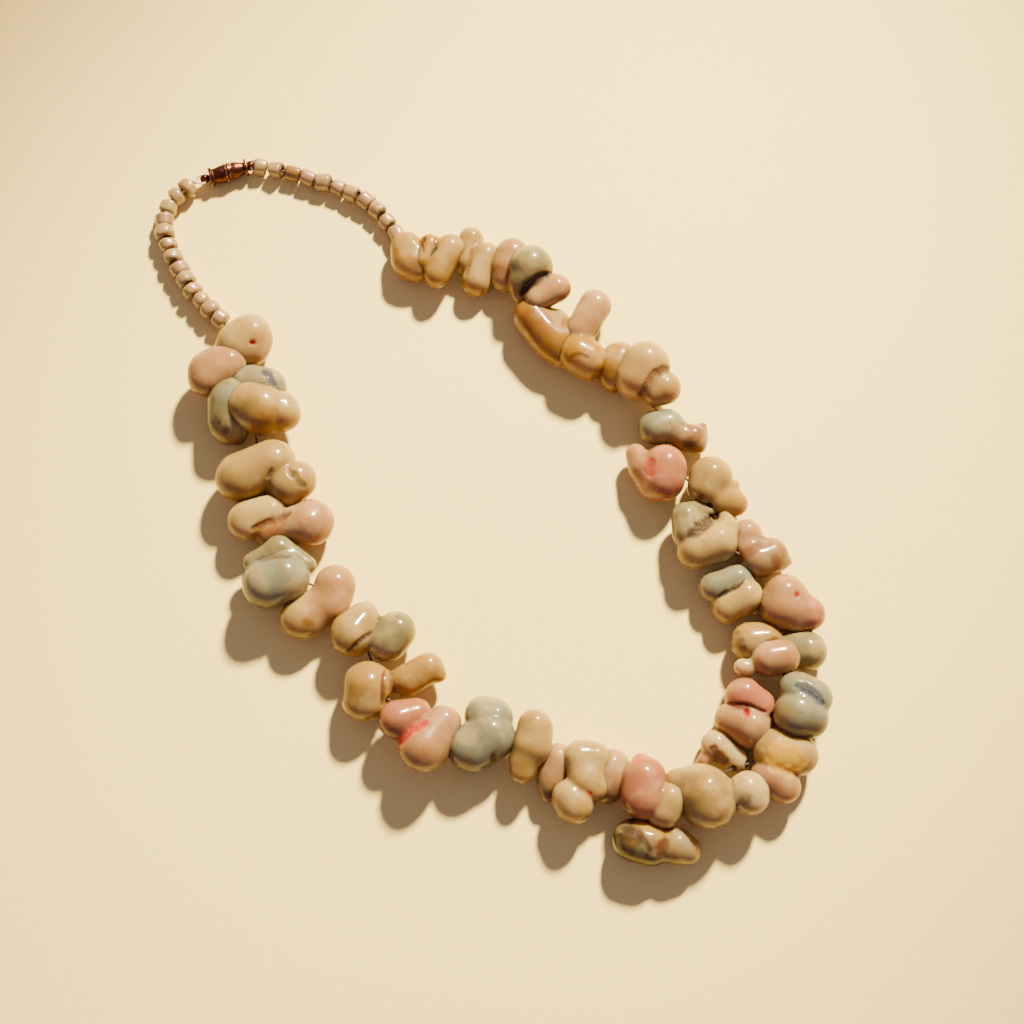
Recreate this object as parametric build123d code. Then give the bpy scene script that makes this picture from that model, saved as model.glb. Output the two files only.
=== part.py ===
from build123d import *

import math
import os
from collections import namedtuple

# A necklace of 42 polished sea shells and two short runs of small beads on one thread,
# closed by a two-part screw barrel, lying in its whole loop on a flat surface.
# Millimetres, Z up. The clasp lies at the back, at +Y.
# The origin is under the middle of the box around everything, on the surface it lies on.

# Shells
shell_length = 16.0
shell_thickness = 9.8
shell_bore = 1.4
shell_gap = 0.2
bore_height = 4.6

# Thread
thread_diameter = 0.5
thread_lead = 4.9
knot_diameter = 1.1
loop_width = 2.9
loop_reach = 2.4
loop_corner_radius = 0.6
widest_arc = 200.0

# Small beads
left_bead_count = 13
left_bead_diameter = 4.1
left_bead_length = 2.8
right_bead_count = 12
right_bead_diameter = 3.6
right_bead_length = 3.0
bead_bore = 1.3
bead_face_share = 0.72
bead_gap = 0.22
bead_to_shell = 7.9
shell_to_bead = 6.1
climb_length = 18.0

# Barrel clasp
clasp_span = 10.4
barrel_diameter = 4.3
barrel_length = 4.4
barrel_back_share = 0.88
cap_length = 2.9
cap_front_share = 0.95
cap_straight_share = 0.3
cap_tip_diameter = 2.3
flange_diameter = 4.1
flange_lead = 0.1
flange_width = 0.5
cap_flange_diameter = 3.7
rib_count = 2
rib_height = 0.25
rib_width = 0.35
rib_slope = 0.1
neck_diameter = 1.2
eye_diameter = 2.2
eye_hole = 1.3
post_diameter = 1.6
post_length = 2.6
fit_clearance = 0.12

# The way the loop lies: how far the page is turned so that the clasp comes to the back
page_turn = -36.0

# The line that the string follows from the left eye of the clasp to the right one, as
# shares of the string's length, across and up the page
Stop = namedtuple("Stop", "across up")
ROUTE = [
    Stop(-0.171, 0.194), Stop(-0.192, 0.164), Stop(-0.180, 0.136), Stop(-0.161, 0.106),
    Stop(-0.142, 0.081), Stop(-0.137, 0.050), Stop(-0.131, 0.017), Stop(-0.120, -0.020),
    Stop(-0.099, -0.047), Stop(-0.075, -0.073), Stop(-0.051, -0.107), Stop(-0.015, -0.117),
    Stop(0.024, -0.130), Stop(0.063, -0.148), Stop(0.096, -0.154), Stop(0.120, -0.131),
    Stop(0.132, -0.096), Stop(0.133, -0.060), Stop(0.119, -0.023), Stop(0.096, 0.016),
    Stop(0.076, 0.053), Stop(0.053, 0.085), Stop(0.018, 0.116), Stop(-0.017, 0.139),
    Stop(-0.053, 0.158), Stop(-0.077, 0.178), Stop(-0.105, 0.192), Stop(-0.146, 0.202),
]

# Shapes of shell. Every shell is a body lobe and a lip lobe with a mouth cut between them.
# body_run and lip_run stretch the lobes, as shares of the body's radius; the skews turn
# those stretches from square across the shell, in degrees; gape is how much wider than
# the body the mouth is cut, drift and rise how far that cut lies to its side and upward,
# and spire is the size of the pointed end, all as shares of the body's radius.
Form = namedtuple("Form", "body_run lip_run body_skew lip_skew gape drift rise spire")
FORMS = {
    "twin": Form(0.45, 0.50, 20, -10, 0.05, 0.17, 0.20, 0.36),
    "bean": Form(0.55, 0.70, 35, 15, 0.06, 0.20, 0.18, 0.32),
    "open": Form(0.35, 0.60, 15, 0, 0.12, 0.28, 0.26, 0.34),
    "long": Form(0.70, 0.60, 80, 60, 0.06, 0.18, 0.22, 0.36),
    "round": Form(0.25, 0.35, 10, 0, 0.04, 0.12, 0.12, 0.34),
}

# One row for each shell in the order of the string, from the clasp's left side.
# step is the way along the line from the shell before, sway is the bore's place left of the
# line, and body and lip are the lobes' diameters, as shares of the shell thickness. reach is
# the distance between the lobes' middles, and lift is the shell's height over the surface,
# as shares of the shell length. heading is the way from body to lip and mouth the way the
# mouth opens, in degrees from the line and from the heading. along is the bore's place in
# the shell, from 0 at the body's middle to 1 at the lip's, and off is how far the bore lies
# left of that way, as a share of the shell thickness.
Shell = namedtuple("Shell", "form step sway along off heading reach body lip lift mouth")
SHELLS = [
    Shell("round", 0.00, 0.21, 0.18, -0.10, -1, 0.25, 1.15, 0.55, 0.00, -60),
    Shell("twin", 0.39, -0.31, -0.10, -0.04, -100, 0.32, 0.80, 0.72, 0.10, 120),
    Shell("open", 0.52, 0.15, -0.10, 0.09, 80, 0.24, 0.84, 0.67, 0.00, 60),
    Shell("bean", 0.42, -0.38, 0.17, 0.20, 10, 0.43, 0.96, 0.67, 0.00, -80),
    Shell("round", 0.38, 0.10, -0.10, -0.02, 78, 0.35, 1.12, 0.83, 0.14, 90),
    Shell("long", 1.11, -0.07, 0.14, 0.17, 66, 0.64, 1.20, 0.80, 0.00, -60),
    Shell("long", 1.22, -0.05, 0.21, 0.02, 73, 0.70, 1.08, 0.94, 0.04, -70),
    Shell("open", 1.05, -0.11, 0.39, -0.19, 171, 0.28, 1.24, 0.92, 0.00, 20),
    Shell("twin", 1.06, 0.24, 0.15, -0.01, -99, 0.55, 0.85, 0.73, 0.00, 100),
    Shell("twin", 1.06, 0.16, 0.20, -0.05, 41, 0.49, 0.94, 0.88, 0.00, -80),
    Shell("long", 1.11, -0.13, 0.19, -0.05, 82, 0.74, 1.08, 0.76, 0.00, -70),
    Shell("bean", 1.06, -0.10, 0.47, 0.03, -5, 0.40, 0.98, 1.18, 0.03, 110),
    Shell("bean", 1.27, 0.03, 0.24, -0.01, 99, 0.36, 1.18, 0.92, 0.00, -60),
    Shell("twin", 0.97, 0.10, 0.40, -0.01, -75, 0.42, 0.86, 0.64, 0.04, 110),
    Shell("round", 0.60, -0.07, 0.18, 0.03, -86, 0.25, 0.70, 0.45, 0.00, 60),
    Shell("twin", 0.57, -0.03, 0.31, -0.02, -90, 0.47, 0.86, 0.78, 0.06, 100),
    Shell("round", 0.55, 0.15, 0.39, 0.02, -82, 0.25, 0.70, 0.55, 0.02, 60),
    Shell("round", 0.68, 0.07, 0.21, -0.19, -15, 0.40, 0.94, 0.82, 0.06, 80),
    Shell("bean", 0.31, -0.54, 0.20, 0.20, 7, 0.50, 0.92, 0.76, 0.00, 80),
    Shell("twin", 1.01, 0.03, -0.08, -0.20, -7, 0.52, 1.10, 0.82, 0.04, -100),
    Shell("open", 1.25, 0.34, -0.10, 0.16, 123, 0.27, 0.72, 0.60, 0.00, -50),
    Shell("open", 0.38, -0.28, 0.35, -0.20, -170, 0.38, 1.06, 0.90, 0.00, 10),
    Shell("bean", 0.64, 0.28, 0.68, 0.20, 179, 0.37, 0.84, 0.98, 0.00, 100),
    Shell("open", 0.61, -0.44, 0.26, -0.20, -176, 0.28, 1.02, 0.95, 0.00, -70),
    Shell("round", 0.62, -0.02, 0.02, 0.02, 105, 0.40, 0.86, 0.50, 0.16, 60),
    Shell("long", 0.34, -0.05, 0.38, 0.00, -105, 0.60, 0.88, 0.84, 0.00, 120),
    Shell("twin", 0.70, -0.18, -0.10, -0.20, -134, 0.37, 0.93, 0.73, 0.00, 90),
    Shell("bean", 0.39, 0.33, 0.89, 0.20, -173, 0.32, 0.88, 0.92, 0.00, 70),
    Shell("round", 0.49, -0.23, -0.04, 0.20, 13, 0.38, 0.88, 0.65, 0.00, -90),
    Shell("open", 0.80, 0.34, -0.10, -0.20, -3, 0.40, 1.04, 0.86, 0.00, 40),
    Shell("twin", 1.03, -0.20, 0.31, -0.19, -169, 0.38, 0.94, 0.70, 0.00, 110),
    Shell("open", 0.90, 0.31, -0.10, -0.20, 30, 0.37, 1.12, 0.64, 0.00, -40),
    Shell("twin", 0.73, 0.07, 0.09, -0.07, -137, 0.43, 0.80, 0.60, 0.00, 90),
    Shell("open", 1.02, -0.28, 0.48, -0.20, -173, 0.34, 1.14, 0.74, 0.00, -60),
    Shell("round", 0.66, -0.02, -0.07, -0.10, -47, 0.22, 0.88, 0.55, 0.00, 90),
    Shell("twin", 0.85, 0.28, 0.19, -0.07, -60, 0.60, 1.00, 0.88, 0.00, -100),
    Shell("round", 0.98, 0.33, 0.39, 0.00, -166, 0.30, 0.92, 0.60, 0.00, 90),
    Shell("bean", 0.83, -0.34, 0.34, -0.07, 170, 0.39, 1.04, 0.90, 0.02, 90),
    Shell("round", 0.62, -0.29, 0.16, -0.01, 106, 0.28, 0.78, 0.60, 0.00, 60),
    Shell("twin", 0.56, 0.03, 0.19, -0.03, -44, 0.48, 0.84, 0.60, 0.00, 90),
    Shell("round", 0.80, 0.24, 0.24, -0.03, -48, 0.27, 0.94, 0.69, 0.03, -90),
    Shell("twin", 0.70, 0.33, 0.36, 0.07, -124, 0.30, 0.86, 0.56, 0.00, 90),
]

# Rules that every shell follows, as shares of its lobes' radii
spire_place = 0.72
spire_drop = 0.15
spire_flare = 1.4
egg_taper = 0.90
neck_share = 0.70
core_share = 0.42
core_reach = 0.45
core_drop = 0.25
shortest_cone = 1.2
mouth_tries = 6
mouth_step = 4

# Rules of the layout
nudge_rounds = 400
nudge_neighbours = 5
nudge_ease = (0.6, 0.6, 1.3)
home_pull = 0.05
pull_share = 0.6
arc_share = 0.3


def flat(angle):
    """A direction in the page at an angle in degrees."""
    return Vector(math.cos(math.radians(angle)), math.sin(math.radians(angle)), 0)


def egg(start, end, start_radius, end_radius):
    """Two balls and the cone that touches both, as one turned solid."""
    length = (end - start).length
    if length < shortest_cone * abs(start_radius - end_radius):
        return Pos(*start) * Sphere(max(start_radius, end_radius))
    lean = math.asin((start_radius - end_radius) / length)
    outline = []
    corners = []
    for place, radius, pole in [(0, start_radius, -math.pi / 2), (length, end_radius, math.pi / 2)]:
        rim, middle = [
            Vector(radius * math.cos(angle), 0, place + radius * math.sin(angle))
            for angle in (lean, (lean + pole) / 2)
        ]
        tip = Vector(0, 0, place + radius * math.sin(pole))
        outline.append(ThreePointArc(tip, middle, rim))
        corners.append((rim, tip))
    outline.append(Line(corners[0][0], corners[1][0]))
    outline.append(Line(corners[0][1], corners[1][1]))
    turned = revolve(make_face(outline), Axis.Z)
    return Plane(origin=start, z_dir=end - start) * turned


def base_line(length):
    """The smooth line of the route at this length."""
    unit = Spline(*[Vector(stop.across, stop.up, 0) for stop in ROUTE])
    scale = length / unit.length
    return Spline(*[Vector(stop.across, stop.up, 0) * scale for stop in ROUTE])


def lobes(shell, bore, tangent):
    """The balls at both ends of a shell's body and lip: their middles and radii."""
    form = FORMS[shell.form]
    body = shell.body * shell_thickness / 2
    lip = shell.lip * shell_thickness / 2
    heading = math.degrees(math.atan2(tangent.Y, tangent.X)) + shell.heading
    axis = flat(heading)
    across = flat(heading + 90)
    middle = bore + axis * ((0.5 - shell.along) * shell.reach * shell_length)
    middle = middle - across * (shell.off * shell_thickness)
    floor = bore.Z - bore_height + shell.lift * shell_length
    ends = []
    for place, radius, run, skew in [
        (-0.5, body, form.body_run, form.body_skew),
        (0.5, lip, form.lip_run, form.lip_skew),
    ]:
        along = across.rotate(Axis.Z, -skew) * (run * body / 2)
        centre = middle + axis * (place * shell.reach * shell_length)
        centre = Vector(centre.X, centre.Y, floor + radius)
        ends.append((centre - along, radius))
        ends.append((centre + along, radius * egg_taper))
    return ends


def covering(shell, ends):
    """Balls that cover a shell well: its end balls, those between them, and the spire."""
    balls = list(ends)
    for one, two, share in [(0, 1, 1.0), (2, 3, 1.0), (0, 2, neck_share), (1, 3, neck_share)]:
        middle = (ends[one][0] + ends[two][0]) * 0.5
        balls.append((middle, share * min(ends[one][1], ends[two][1])))
    balls.append(spire_ball(FORMS[shell.form], ends))
    return [(centre.X, centre.Y, centre.Z, radius) for centre, radius in balls]


def spire_ball(form, ends):
    """The middle and radius of the ball that ends a shell's spire."""
    body_middle = (ends[0][0] + ends[1][0]) * 0.5
    away = body_middle - (ends[2][0] + ends[3][0]) * 0.5
    away = Vector(away.X, away.Y, 0).normalized()
    body = ends[0][1]
    return body_middle + away * (spire_place * body) - Vector(0, 0, spire_drop * body), form.spire * body


def worst_touch(first, second, move, other_move):
    """The deepest meeting of two shells' balls: how deep, and its direction."""
    worst = (0.0, None)
    shift = [other_move[axis] - move[axis] for axis in range(3)]
    for x, y, z, radius in first:
        for other_x, other_y, other_z, other_radius in second:
            apart = (other_x - x + shift[0], other_y - y + shift[1], other_z - z + shift[2])
            reach = radius + other_radius + shell_gap
            squared = apart[0] ** 2 + apart[1] ** 2 + apart[2] ** 2
            if squared < reach * reach:
                length = math.sqrt(squared)
                if reach - length > worst[0]:
                    worst = (reach - length, [value / length for value in apart])
    return worst


def nudge_apart(shells):
    """How far each shell moves so that none meet: near its place, and above the surface."""
    moves = [[0.0, 0.0, 0.0] for _ in shells]
    lows = [min(z - radius for _, _, z, radius in balls) for balls in shells]
    for turn in range(nudge_rounds):
        pull = home_pull * max(0, 1 - turn / (nudge_rounds * pull_share))
        moves = [[value * (1 - pull) for value in move] for move in moves]
        still = pull == 0
        for first in range(len(shells)):
            for second in range(first + 1, min(first + 1 + nudge_neighbours, len(shells))):
                depth, way = worst_touch(shells[first], shells[second], moves[first], moves[second])
                if way is None:
                    continue
                still = False
                for index, sign in ((first, -0.5), (second, 0.5)):
                    for axis, ease in enumerate(nudge_ease):
                        moves[index][axis] += sign * depth * way[axis] * ease
                    moves[index][2] = max(moves[index][2], -lows[index])
        if still:
            break
    return [Vector(*move) for move in moves]


def shell_solid(shell, ends, drill):
    """One whole shell with its bore; the mouth is turned a little where a cut fails."""
    for attempt in range(mouth_tries):
        solid = carved(shell, ends, shell.mouth + attempt * mouth_step) - drill
        if solid.is_valid and len(solid.solids()) == 1 and solid.volume > 0:
            break
    return solid


def carved(shell, ends, mouth):
    """Body and lip lobes with their neck, the mouth cut this way, and the spire."""
    form = FORMS[shell.form]
    (body_start, body), (body_end, body_tip), (lip_start, lip), (lip_end, lip_tip) = ends
    body_middle = (body_start + body_end) * 0.5
    lip_middle = (lip_start + lip_end) * 0.5
    heading = Vector(lip_middle.X - body_middle.X, lip_middle.Y - body_middle.Y, 0).normalized()
    neck = neck_share * min(body, lip)
    front = egg(lip_start, lip_end, lip, lip_tip)
    front = front + egg(body_middle, lip_middle, neck, neck * egg_taper)
    opening = heading.rotate(Axis.Z, mouth) * (form.drift * body)
    opening = opening + Vector(0, 0, form.rise * body)
    wide = 1 + form.gape
    front = front - egg(body_start + opening, body_end + opening, body * wide, body_tip * wide)
    core = core_share * lip
    core_end = lip_middle + heading * (core_reach * lip) - Vector(0, 0, core_drop * lip)
    point, spire = spire_ball(form, ends)
    back = egg(body_start, body_end, body, body_tip)
    back = back + egg(body_middle, core_end, core, core * egg_taper)
    back = back + egg(body_middle, point, spire * spire_flare, spire)
    return front + back


def corner_radii(points):
    """A radius for each inner point of a run of straight lengths, as wide as they allow."""
    radii = []
    for before, corner, after in zip(points, points[1:], points[2:]):
        turn = math.radians((corner - before).get_angle(after - corner))
        shorter = min((corner - before).length, (after - corner).length)
        radii.append(min(widest_arc, arc_share * shorter / math.tan(turn / 2)))
    return radii


def tube(points, radii, diameter):
    """A round tube along straight lengths joined by tangent arcs."""
    path = FilletPolyline(*points, radius=radii)
    start = Plane(origin=path @ 0, z_dir=path % 0)
    return sweep(start * Circle(diameter / 2), path=path)


def bead_solid(place, direction, diameter, length):
    """One small drilled bead with round sides."""
    edge = bead_face_share * diameter / 2
    outline = [
        Line((bead_bore / 2, 0, -length / 2), (edge, 0, -length / 2)),
        ThreePointArc((edge, 0, -length / 2), (diameter / 2, 0, 0), (edge, 0, length / 2)),
        Line((edge, 0, length / 2), (bead_bore / 2, 0, length / 2)),
        Line((bead_bore / 2, 0, length / 2), (bead_bore / 2, 0, -length / 2)),
    ]
    bead = revolve(make_face(outline), Axis.Z)
    return Plane(origin=place, z_dir=direction) * bead


def turned(profile, frame):
    """A solid of revolution from (radius, place) pairs along the clasp's axis."""
    points = [(radius, 0, place) for radius, place in profile]
    return frame * revolve(make_face(Polyline(*points, close=True)), Axis.Z)


def eye(frame, place):
    """The ball at the end of the clasp, drilled across for the thread's loop."""
    ball = Pos(0, 0, place) * Sphere(eye_diameter / 2)
    hole = Pos(0, 0, place) * Rot(90, 0, 0) * Cylinder(eye_hole / 2, 2 * eye_diameter)
    return frame * ball, frame * hole


def clasp_halves(left_eye, right_eye):
    """The threaded socket with its ribbed barrel, and the tapered screw cap."""
    along = (right_eye - left_eye).normalized()
    frame = Plane(origin=left_eye, z_dir=along, x_dir=Vector(0, 0, 1))
    flange_start = eye_diameter / 2 + flange_lead
    barrel_start = flange_start + flange_width
    barrel_end = barrel_start + barrel_length
    shoulder = barrel_diameter / 2 - rib_height
    profile = [
        (0, 0), (neck_diameter / 2, 0), (neck_diameter / 2, flange_start),
        (flange_diameter / 2, flange_start), (flange_diameter / 2, barrel_start),
        (shoulder * barrel_back_share, barrel_start + rib_width),
        (shoulder, barrel_start + barrel_length / 2),
    ]
    rib_pitch = barrel_length / 2 / (rib_count + 1)
    for rib in range(rib_count):
        rib_start = barrel_end - (rib_count - rib) * rib_pitch
        rib_end = rib_start + rib_width
        profile += [
            (shoulder, rib_start), (barrel_diameter / 2, rib_start + rib_slope),
            (barrel_diameter / 2, rib_end), (shoulder, rib_end + rib_slope),
        ]
    bore = post_diameter / 2 + fit_clearance
    depth = barrel_end - post_length - fit_clearance
    profile += [(shoulder, barrel_end), (bore, barrel_end), (bore, depth), (0, depth)]
    socket = turned(profile, frame)
    ball, hole = eye(frame, 0)
    socket = socket + ball - hole

    cap_start = barrel_end + fit_clearance
    cap_end = cap_start + cap_length
    tip = cap_end + flange_width
    profile = [
        (0, barrel_end - post_length), (post_diameter / 2, barrel_end - post_length),
        (post_diameter / 2, cap_start), (shoulder, cap_start),
        (shoulder * cap_front_share, cap_start + cap_length * cap_straight_share),
        (cap_tip_diameter / 2, cap_end), (cap_flange_diameter / 2, cap_end),
        (cap_flange_diameter / 2, tip), (neck_diameter / 2, tip),
        (neck_diameter / 2, clasp_span), (0, clasp_span),
    ]
    screw = turned(profile, frame)
    ball, hole = eye(frame, clasp_span)
    screw = screw + ball - hole
    return socket, screw


def thread_loop(place, outward):
    """The thread's loop through an eye and the knot that closes it."""
    across = Vector(-outward.Y, outward.X, 0)
    knot = place + outward * loop_reach
    points = [
        knot + across * (thread_diameter / 2), place + across * (loop_width / 2),
        place - across * (loop_width / 2), knot - across * (thread_diameter / 2),
    ]
    loop = tube(points, [loop_corner_radius] * 2, thread_diameter)
    return loop + Pos(*knot) * Sphere(knot_diameter / 2), knot


# How long the string is, from eye to eye of the clasp
left_pitch = left_bead_length + bead_gap
right_pitch = right_bead_length + bead_gap
shell_stretch = sum(shell.step for shell in SHELLS) * shell_thickness
left_stretch = thread_lead + (left_bead_count - 1) * left_pitch + bead_to_shell
right_stretch = shell_to_bead + (right_bead_count - 1) * right_pitch + thread_lead
string_length = left_stretch + shell_stretch + right_stretch
line = base_line(string_length)


def on_line(distance, height):
    """The place on the line at a distance along it, and the line's direction there."""
    share = distance / string_length
    place = line @ share
    return Vector(place.X, place.Y, height), line % share


def bead_places(distances, radius, bore, bore_distance):
    """Beads' middles along the line, those near a shell's bore drawn towards it."""
    start, _ = on_line(bore_distance, radius)
    places = []
    for distance in distances:
        drawn = max(0, 1 - abs(distance - bore_distance) / climb_length)
        place, _ = on_line(distance, radius)
        places.append(place + (bore - start) * drawn)
    return places


# Shells: each one's bore beside the line, its lobes, and the places after nudging
bores = []
shapes = []
distance = left_stretch
for shell in SHELLS:
    distance += shell.step * shell_thickness
    place, tangent = on_line(distance, bore_height)
    bore = place + Vector(-tangent.Y, tangent.X, 0) * (shell.sway * shell_thickness)
    bores.append(bore)
    shapes.append(lobes(shell, bore, tangent))
moves = nudge_apart([covering(shell, ends) for shell, ends in zip(SHELLS, shapes)])
bores = [bore + move for bore, move in zip(bores, moves)]

# Beads: their middles on the surface, the last ones rising to the nearest shell's bore
left_places = bead_places(
    [thread_lead + index * left_pitch for index in range(left_bead_count)],
    left_bead_diameter / 2, bores[0], left_stretch,
)
last_bore = left_stretch + shell_stretch
right_places = bead_places(
    [last_bore + shell_to_bead + index * right_pitch for index in range(right_bead_count)],
    right_bead_diameter / 2, bores[-1], last_bore,
)

# Clasp: on the surface, centred between the ends of the line
clasp_height = barrel_diameter / 2
left_end, _ = on_line(0, clasp_height)
right_end, _ = on_line(string_length, clasp_height)
clasp_middle = (left_end + right_end) * 0.5
clasp_way = (right_end - left_end).normalized()
left_eye = clasp_middle - clasp_way * (clasp_span / 2)
right_eye = clasp_middle + clasp_way * (clasp_span / 2)
clasp_socket, clasp_screw = clasp_halves(left_eye, right_eye)

# Thread: a loop in each eye, and one run through every bead and bore
left_loop, left_knot = thread_loop(left_eye, clasp_way * -1)
right_loop, right_knot = thread_loop(right_eye, clasp_way)
run_points = [left_knot] + left_places + bores + right_places + [right_knot]
run_radii = corner_radii(run_points)
thread = left_loop + tube(run_points, run_radii, thread_diameter) + right_loop

# Beads and shells along that run
nodes = {"thread": thread, "clasp_socket": clasp_socket, "clasp_screw": clasp_screw}
beads_left = []
beads_right = []
for index in range(1, len(run_points) - 1):
    way = run_points[index + 1] - run_points[index - 1]
    if index <= left_bead_count:
        bead = bead_solid(run_points[index], way, left_bead_diameter, left_bead_length)
        beads_left.append(bead)
    elif index > left_bead_count + len(SHELLS):
        bead = bead_solid(run_points[index], way, right_bead_diameter, right_bead_length)
        beads_right.append(bead)
    else:
        number = index - left_bead_count
        move = moves[number - 1]
        ends = [(centre + move, radius) for centre, radius in shapes[number - 1]]
        near = run_points[index - 2:index + 3]
        drill = tube(near, run_radii[index - 2:index + 1], shell_bore)
        nodes[f"shell_{number:02d}"] = shell_solid(SHELLS[number - 1], ends, drill)
nodes["beads_left"] = Compound(beads_left)
nodes["beads_right"] = Compound(beads_right)

# Turn the page so that the clasp is at the back, and centre the whole on the origin
turned_nodes = {name: Rot(0, 0, page_turn) * solid for name, solid in nodes.items()}
boxes = [solid.bounding_box() for solid in turned_nodes.values()]
low = Vector(*(min(getattr(box.min, axis) for box in boxes) for axis in "XYZ"))
high = Vector(*(max(getattr(box.max, axis) for box in boxes) for axis in "XYZ"))
to_origin = Pos(-(low.X + high.X) / 2, -(low.Y + high.Y) / 2, -low.Z)

os.makedirs("parts", exist_ok=True)
for name, solid in turned_nodes.items():
    export_step(to_origin * solid, f"parts/{name}.step")

print("string length from eye to eye:", round(string_length, 1))
print("box:", [round(value, 1) for value in high - low])
print("middle of the page's box:", [round(value, 2) for value in (low + high) * 0.5])
print("smallest arc of the thread:", round(min(run_radii), 2))
print("furthest a shell was nudged:", round(max(move.length for move in moves), 2))
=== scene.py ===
"""A necklace of polished sea shells, small shell beads and a screw barrel clasp, lying on a page.

The frame gives every piece its place. Lengths are in metres, colours are written as they look
on paper, and a place read from the photograph is in pixels of its 1024 x 1024 frame.
"""

import math
from collections import namedtuple

import bpy
import numpy as np
from bpy.props import FloatProperty, FloatVectorProperty, IntProperty, PointerProperty
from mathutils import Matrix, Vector


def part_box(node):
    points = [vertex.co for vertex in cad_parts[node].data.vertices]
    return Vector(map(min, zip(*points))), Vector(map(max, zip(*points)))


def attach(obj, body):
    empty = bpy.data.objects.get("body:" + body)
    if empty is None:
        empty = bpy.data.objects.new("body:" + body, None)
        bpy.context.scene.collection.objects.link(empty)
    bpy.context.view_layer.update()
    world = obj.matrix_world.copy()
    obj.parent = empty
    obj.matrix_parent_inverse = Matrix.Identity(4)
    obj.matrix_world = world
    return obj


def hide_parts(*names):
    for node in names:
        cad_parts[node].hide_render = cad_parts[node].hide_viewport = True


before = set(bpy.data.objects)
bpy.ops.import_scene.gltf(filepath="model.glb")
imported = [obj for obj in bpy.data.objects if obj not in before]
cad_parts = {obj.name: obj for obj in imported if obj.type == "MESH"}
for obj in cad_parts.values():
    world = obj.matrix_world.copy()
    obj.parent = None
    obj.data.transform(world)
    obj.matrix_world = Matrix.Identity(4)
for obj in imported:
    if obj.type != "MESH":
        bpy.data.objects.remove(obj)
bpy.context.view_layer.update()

bl_info = {
    "name": "Shell necklace",
    "version": (1, 0, 0),
    "blender": (4, 5, 0),
    "location": "View3D > Sidebar > Necklace",
    "description": "Finishes the shells, small beads, thread and clasp of a shell necklace",
    "category": "Object",
}

MM = 0.001

# How the photograph was taken: the page's middle, the way the camera stood and its angle
PHOTO_MIDDLE = Vector((0.00189, -0.0102, 0.005))
PHOTO_AZIMUTH = math.radians(-36)
PHOTO_ELEVATION = math.radians(75)
PHOTO_DISTANCE = 0.320
PHOTO_ANGLE = math.radians(36.4)
PHOTO_HALF = 512

# Colours of the shells, their marks and painted shade, metal and thread, as red, green and blue out of 255
COLOURS = {
    "ivory": (156, 134, 76),
    "white": (172, 153, 106),
    "cream": (142, 120, 64),
    "straw": (140, 112, 50),
    "gold": (188, 146, 22),
    "ochre": (140, 102, 12),
    "amber": (122, 84, 18),
    "orange": (122, 74, 20),
    "tan": (112, 81, 48),
    "olive": (92, 78, 36),
    "moss": (70, 57, 24),
    "blush": (150, 115, 76),
    "pink": (148, 94, 66),
    "salmon": (134, 74, 46),
    "red": (168, 28, 10),
    "rust": (84, 44, 22),
    "brown": (58, 37, 22),
    "dark": (34, 21, 14),
    "sky": (110, 116, 94),
    "slate": (72, 78, 82),
    "sage": (110, 106, 70),
    "mauve": (94, 69, 53),
    "violet": (56, 54, 68),
    "thread": (238, 228, 206),
    "worn thread": (206, 182, 140),
}
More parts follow.
